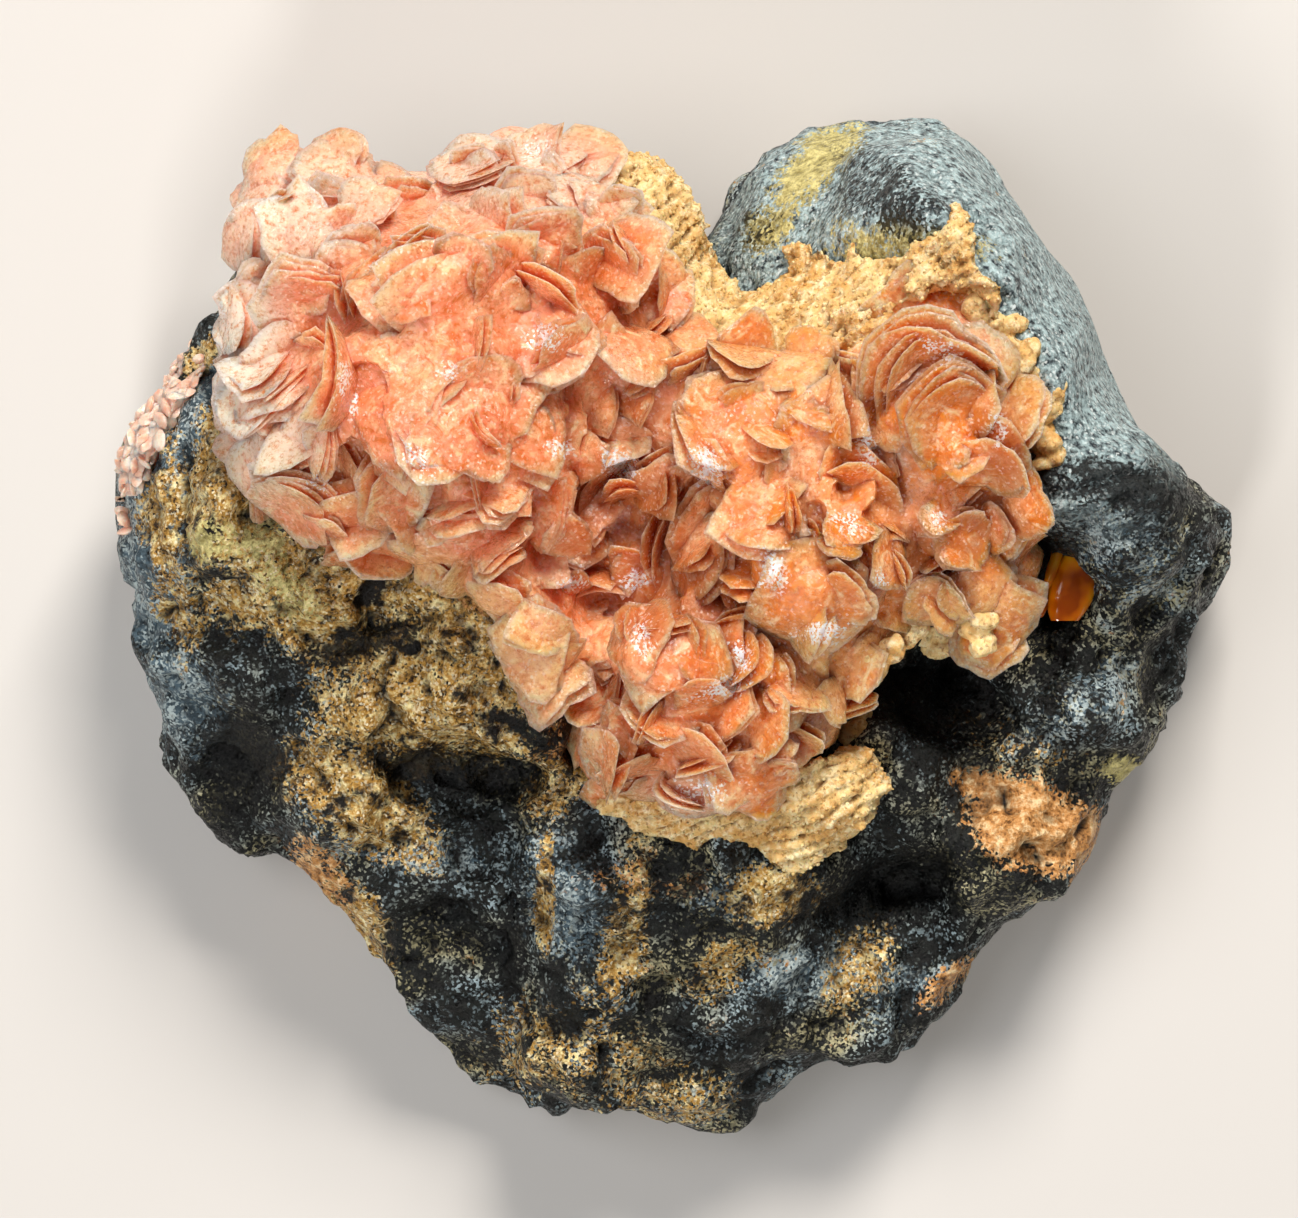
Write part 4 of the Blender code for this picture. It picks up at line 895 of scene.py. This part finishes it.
def scatter_tree(name):
    """Adds copies of a shape to the outside of a surface, with an even spacing."""
    tree = bpy.data.node_groups.new(name, "GeometryNodeTree")
    tree.interface.new_socket("Geometry", in_out="INPUT", socket_type="NodeSocketGeometry")
    for label, kind in SCATTER_INPUTS:
        tree.interface.new_socket(label, in_out="INPUT", socket_type=kind)
    tree.interface.new_socket("Geometry", in_out="OUTPUT", socket_type="NodeSocketGeometry")
    given = tree.nodes.new("NodeGroupInput").outputs
    normal = add_node(tree, "GeometryNodeInputNormal")
    upward = add_node(tree, "ShaderNodeSeparateXYZ", {0: normal})
    place = add_node(tree, "ShaderNodeSeparateXYZ", {0: add_node(tree, "GeometryNodeInputPosition")})
    outer = add_node(
        tree, "FunctionNodeCompare", {0: upward.outputs["Z"], 1: -0.25}, operation="GREATER_THAN"
    )
    high = add_node(
        tree, "FunctionNodeCompare", {0: place.outputs["Z"], 1: given["Lowest"]}, operation="GREATER_THAN"
    )
    shown = add_node(tree, "FunctionNodeBooleanMath", {0: outer, 1: high}, operation="AND")
    spread_out = {
        "Mesh": given["Geometry"], "Selection": shown, "Distance Min": given["Spacing"],
        "Density Max": 4.0e7, "Seed": given["Seed"],
    }
    spots = add_node(
        tree, "GeometryNodeDistributePointsOnFaces", spread_out, distribute_method="POISSON"
    )
    most = add_node(tree, "ShaderNodeVectorMath", {0: given["Tip"], "Scale": -1.0}, operation="SCALE")
    tip = add_node(
        tree,
        "FunctionNodeRandomValue",
        {0: most, 1: given["Tip"], "Seed": given["Seed"]},
        data_type="FLOAT_VECTOR",
    )
    tip_turn = add_node(tree, "FunctionNodeEulerToRotation", {0: tip})
    turn = add_node(
        tree,
        "FunctionNodeRotateRotation",
        {0: spots.outputs["Rotation"], 1: tip_turn},
        rotation_space="LOCAL",
    )
    size = add_node(
        tree,
        "FunctionNodeRandomValue",
        {2: given["Smallest"], 3: given["Largest"], "Seed": given["Seed"]},
        data_type="FLOAT",
    )
    shape = add_node(tree, "GeometryNodeObjectInfo", {"Object": given["Shape"]})
    put = add_node(tree, "GeometryNodeInstanceOnPoints", {
        "Points": spots, "Instance": shape.outputs["Geometry"], "Rotation": turn,
        "Scale": size.outputs[1],
    })
    both = tree.nodes.new("GeometryNodeJoinGeometry")
    tree.links.new(put.outputs[0], both.inputs[0])
    tree.links.new(given["Geometry"], both.inputs[0])
    real = add_node(tree, "GeometryNodeRealizeInstances", {0: both})
    finished = add_node(tree, "GeometryNodeSetMaterial", {"Geometry": real, "Material": given["Finish"]})
    ending = tree.nodes.new("NodeGroupOutput")
    tree.links.new(finished.outputs[0], ending.inputs["Geometry"])
    return tree


scattering = scatter_tree("pieces scattered over a surface")


def scattered(name, surface, values):
    """A plain mesh of the surface and what the tree scatters over it, with its named inputs set."""
    body = object_of(name, surface.copy())
    modifier = body.modifiers.new("scatter", "NODES")
    modifier.node_group = scattering
    for socket in scattering.interface.items_tree:
        if socket.in_out == "INPUT" and socket.name in values:
            modifier[socket.identifier] = values[socket.name]
    bake(body)
    return body


limonite, tree, shader, place = new_material("earthy limonite")
seed_grain = bmesh.new()
bmesh.ops.create_icosphere(seed_grain, subdivisions=1, radius=MM)
grain_shape = object_of("grain", mesh_of(seed_grain, "grain"))
crusts = []
for node, name, seed in (("notch_crust", "notch_ochre", 41), ("cushion_crust", "cushion_ochre", 51)):
    body = finer_copy(node, "crust_bed", CRUST_VOXEL, CRUST_SMOOTHING)
    points, normals = points_of(body.data)
    upward = smoothstep(-0.4, 0.2, normals[:, 2])
    move = 0.42 * broken(points, 1.6, seed) + 0.3 * broken(points, 0.7, seed + 1) - 0.1
    move += 0.16 * waves(points, 0.5, seed + 2)
    # Thin wavy layers run along the notch.
    layers = points[:, 1] - 0.5 * points[:, 0] + 0.9 * waves(points, 2.4, seed + 3)
    move += 0.13 * np.sin(layers * math.tau / 0.7)
    set_points(body.data, kept_in_box(points + normals * (upward * move)[:, None], node, 0.1))
    grained = scattered(name, body.data, {
        "Spacing": 0.4 * MM, "Smallest": 0.05, "Largest": 0.15, "Lowest": 6 * MM,
        "Tip": (3.1, 3.1, 3.1), "Shape": grain_shape, "Finish": limonite, "Seed": seed,
    })
    bpy.data.objects.remove(body)
    low, high = (np.array(corner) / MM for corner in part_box(node))
    hold_islands(grained.data, low, high)
    drop_loose(grained.data, CRUST_REACH)
    set_value(grained.data, "hollow", hollowness(grained.data, 6))
    grained.data.shade_smooth()
    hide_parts(node)
    crusts.append(grained)
bpy.data.objects.remove(grain_shape)

chance = random.Random(21)
trees = [cluster_tree, tree_of(stone.data)]
lump_bm = bmesh.new()
for x, y, radius in CREAM_LUMPS:
    tops = [height for height in (top_height(part, x, y) for part in trees) if height is not None]
    for _ in range(4):
        size = radius * chance.uniform(0.45, 0.8)
        spot = (x + chance.uniform(-0.6, 0.6) * radius, y + chance.uniform(-0.6, 0.6) * radius)
        centre = moved(*spot, max(tops) + chance.uniform(-0.1, 0.3) * radius)
        stretch = Matrix.Diagonal((1.0, chance.uniform(0.7, 1.0), chance.uniform(0.6, 0.9), 1.0))
        bmesh.ops.create_icosphere(
            lump_bm,
            subdivisions=3,
            radius=size * MM,
            matrix=centre @ turned(chance.uniform(0, 180), "Z") @ stretch,
        )
lumps_body = object_of("cream_lumps", mesh_of(lump_bm, "cream_lumps"))
remesh = lumps_body.modifiers.new("grown together", "REMESH")
remesh.mode = "VOXEL"
remesh.voxel_size = LUMP_VOXEL * MM
bake(lumps_body)
lump_mesh = lumps_body.data
points, normals = points_of(lump_mesh)
move = 0.3 * broken(points, 0.8, 61) + 0.12 * waves(points, 0.35, 62)
set_points(lump_mesh, points + normals * move[:, None])
set_value(lump_mesh, "hollow", hollowness(lump_mesh, 3))
lump_mesh.shade_smooth()
lump_mesh.materials.append(limonite)
crusts.append(lumps_body)

# Earthy limonite: dull powdery iron hydroxide, pale yellow on its tops, with painted shade making it
# brown down in its pits.
speck = add_node(tree, "ShaderNodeTexVoronoi", {"Vector": place, "Scale": 1 / (0.13 * MM)})
pick = add_node(tree, "ShaderNodeSeparateColor", {"Color": speck.outputs["Color"]})
grain = add_node(
    tree, "ShaderNodeTexNoise", {"Vector": place, "Scale": 1 / (0.6 * MM), "Detail": 6.0, "Roughness": 0.75}
)
lumps = add_node(
    tree, "ShaderNodeTexNoise", {"Vector": place, "Scale": 1 / (2.4 * MM), "Detail": 3.0}
)
hollow = add_node(tree, "ShaderNodeAttribute", attribute_name="hollow").outputs["Fac"]
base = laid_over(
    tree,
    "#D3A35C",
    ("#E8C888", lumps, 0.4, 0.6),
    ("#F6E8BC", grain, 0.48, 0.66),
    ("#A87436", grain, 0.42, 0.30),
    ("#9A6428", pick.outputs["Red"], 0.80, 1.1),
    # Painted shade down in the pits.
    ("#70481C", hollow, 0.03, 0.2),
)
feed(tree, shader, {
    "Base Color": base, "Roughness": 0.85, "Subsurface Weight": 0.15, "Subsurface Scale": 0.5 * MM,
})
glinting(tree, shader, speck, 0.5, grain.outputs["Fac"], 0.15)
for body in crusts:
    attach(body, "root")

# Pale rim crystals
# Small pale pink crystals that grew apart from the main mass, on the outer left rim of the stone.
# They are lenses scattered over their packed bed.
RIM_VOXEL = 0.3
RIM_SMOOTHING = 6
# Crystals further than this from the bed and the stone are left out.
RIM_REACH = 0.1
pale_crystal, tree, shader, place = new_material("pale rhodochrosite")
rim_bed = finer_copy("rim_crystals", "rim_bed", RIM_VOXEL, RIM_SMOOTHING)
points, normals = points_of(rim_bed.data)
move = 0.5 * broken(points, 1.1, 71) + 0.1 * waves(points, 0.5, 72) - 0.25
set_points(rim_bed.data, points + normals * (move * smoothstep(-0.4, 0.2, normals[:, 2]))[:, None])
seed_crystal = object_of(
    "seed_crystal", leaf_crystal(1.0, 0.34, 0.05, random.Random(9), sides=12, rings=(0.5, 0.82))
)
rim = scattered("rim_crystals_pale", rim_bed.data, {
    "Spacing": 0.6 * MM, "Smallest": 0.25, "Largest": 0.7, "Lowest": 4 * MM,
    "Tip": (1.1, 1.1, 3.1), "Shape": seed_crystal, "Finish": pale_crystal, "Seed": 6,
})
bpy.data.objects.remove(rim_bed)
bpy.data.objects.remove(seed_crystal)
low, high = (np.array(corner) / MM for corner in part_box("rim_crystals"))
hold_islands(rim.data, low, high)
drop_loose(rim.data, RIM_REACH, [tree_of(stone.data)])
rim.data.shade_smooth()
rim.data.set_sharp_from_angle(angle=math.radians(35))
set_value(rim.data, "hollow", hollowness(rim.data, 3))

# Pale rhodochrosite: the same carbonate, near white with pink depths painted as shade in its hollows, and
# sugary.
etch = add_node(tree, "ShaderNodeTexVoronoi", {"Vector": place, "Scale": 1 / (0.18 * MM)})
grain = add_node(
    tree, "ShaderNodeTexNoise", {"Vector": place, "Scale": 1 / (0.8 * MM), "Detail": 4.0, "Roughness": 0.7}
)
hollow = add_node(tree, "ShaderNodeAttribute", attribute_name="hollow").outputs["Fac"]
# Painted shade down in the hollows.
base = laid_over(tree, "#E9A58C", ("#F4D5C4", grain, 0.38, 0.62), ("#B86A44", hollow, 0.02, 0.3))
feed(tree, shader, {
    "Base Color": base, "Subsurface Weight": 0.7, "Subsurface Radius": (1.0, 0.5, 0.35),
    "Subsurface Scale": 1.0 * MM, "Roughness": 0.35, "IOR": 1.6,
})
glinting(tree, shader, etch, 0.4, grain.outputs["Fac"], 0.08)
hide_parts("rim_crystals")
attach(rim, "root")

# Amber crystals
# One broad glossy amber-orange blade with three thin ones beside it, grown in a dark hollow of the
# stone at the right. They are see-through, and they stand on the hollow's floor.
AMBER_ROLL = 10
# x, y, z of the middle, half length, half width, half thickness, lean and turn in degrees.
AMBER_BLADES = [
    (20.1, 2.1, 14.5, 2.3, 1.15, 0.6, 14, 69), (19.2, 3.4, 14.9, 2.0, 0.3, 0.3, 6, 71),
    (18.7, 1.5, 14.2, 1.0, 0.26, 0.26, -14, 80), (19.3, 2.3, 13.9, 1.7, 0.6, 0.3, -30, 66),
]
amber, tree, shader, place = new_material("amber crystal")
blade_bm = bmesh.new()
for x, y, z, length, width, thickness, lean, turn in AMBER_BLADES:
    shape = moved(x, y, z) @ turned(turn, "Z") @ turned(lean, "X") @ turned(AMBER_ROLL, "Y")
    stretch = Matrix.Diagonal((length, width, thickness, 1.0))
    bmesh.ops.create_icosphere(blade_bm, subdivisions=5, radius=MM, matrix=shape @ stretch)
blade_mesh = mesh_of(blade_bm, "amber_blades")
blades = object_of("amber_blades", blade_mesh)
points, normals = points_of(blade_mesh)
move = 0.05 * broken(points, 1.2, 81, 0.06) + 0.03 * waves(points, 0.5, 82)
set_points(blade_mesh, kept_in_box(points + normals * move[:, None], "amber_crystals", 0.0))
blade_mesh.shade_smooth()
blade_mesh.set_sharp_from_angle(angle=math.radians(28))

# Amber-coloured crystal: clear to cloudy, deep orange where it is thick, with a glassy surface.
grain = add_node(
    tree, "ShaderNodeTexNoise", {"Vector": place, "Scale": 1 / (2.4 * MM), "Detail": 2.0, "Roughness": 0.5}
)
base = laid_over(tree, "#E07A04", ("#FFAC1C", grain, 0.45, 0.62), ("#9A4402", grain, 0.47, 0.36))
bump = add_node(tree, "ShaderNodeBump", {"Height": grain, "Strength": 0.3, "Distance": 0.1 * MM})
feed(tree, shader, {
    "Base Color": base, "Subsurface Weight": 0.5, "Subsurface Radius": (1.0, 0.4, 0.05),
    "Subsurface Scale": 1.2 * MM, "Transmission Weight": 0.35, "IOR": 1.55, "Roughness": 0.12,
    "Normal": bump,
})
blade_mesh.materials.append(amber)
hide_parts("amber_crystals")
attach(blades, "root")

# Floor, light and camera
# A plain pale table, a soft light from the top of the picture and weaker ones from its other sides.
bpy.ops.mesh.primitive_plane_add(size=4.0)
floor = bpy.context.object
floor.name = "floor"
paper, tree, shader, _ = new_material("pale floor")
feed(tree, shader, {"Base Color": "#C4C1BD", "Roughness": 0.9})
floor.data.materials.append(paper)

PHOTO_WIDTH, PHOTO_HEIGHT = 1298, 1218
MM_PER_PIXEL = 0.05
ORIGIN_PIXEL = (671, 628)
CAMERA_DISTANCE = 1.2
FOCUS_HEIGHT = 14.0


def add_light(name, place, size, power, colour):
    """A square lamp that looks at the middle of the specimen."""
    light = bpy.data.lights.new(name, "AREA")
    light.energy = power
    light.size = size
    light.color = linear(colour)[:3]
    made = object_of(name, light)
    made.location = place
    toward = Vector((0.0, 0.0, 0.015)) - Vector(place)
    made.rotation_euler = toward.to_track_quat("-Z", "Y").to_euler()


add_light("window", (0.10, 0.42, 0.46), 0.20, 5.2, "#FFF8F0")
add_light("low front", (-0.12, -0.40, 0.42), 0.12, 1.6, "#FFFDFA")
add_light("over", (-0.30, 0.05, 0.60), 0.40, 1.8, "#F8FAFF")
world = bpy.data.worlds.new("studio")
bpy.context.scene.world = world
world.use_nodes = True
background = world.node_tree.nodes["Background"]
feed(world.node_tree, background, {"Color": "#D2D0CC", "Strength": 0.13})

camera_data = bpy.data.cameras.new("camera")
camera = object_of("camera", camera_data)
camera.location = (
    (PHOTO_WIDTH / 2 - ORIGIN_PIXEL[0]) * MM_PER_PIXEL * MM,
    (ORIGIN_PIXEL[1] - PHOTO_HEIGHT / 2) * MM_PER_PIXEL * MM,
    FOCUS_HEIGHT * MM + CAMERA_DISTANCE,
)
camera_data.sensor_fit = "HORIZONTAL"
camera_data.lens = camera_data.sensor_width * CAMERA_DISTANCE / (PHOTO_WIDTH * MM_PER_PIXEL * MM)
camera_data.clip_start = 0.05
bpy.context.scene.camera = camera
bpy.context.scene.view_settings.view_transform = "Standard"
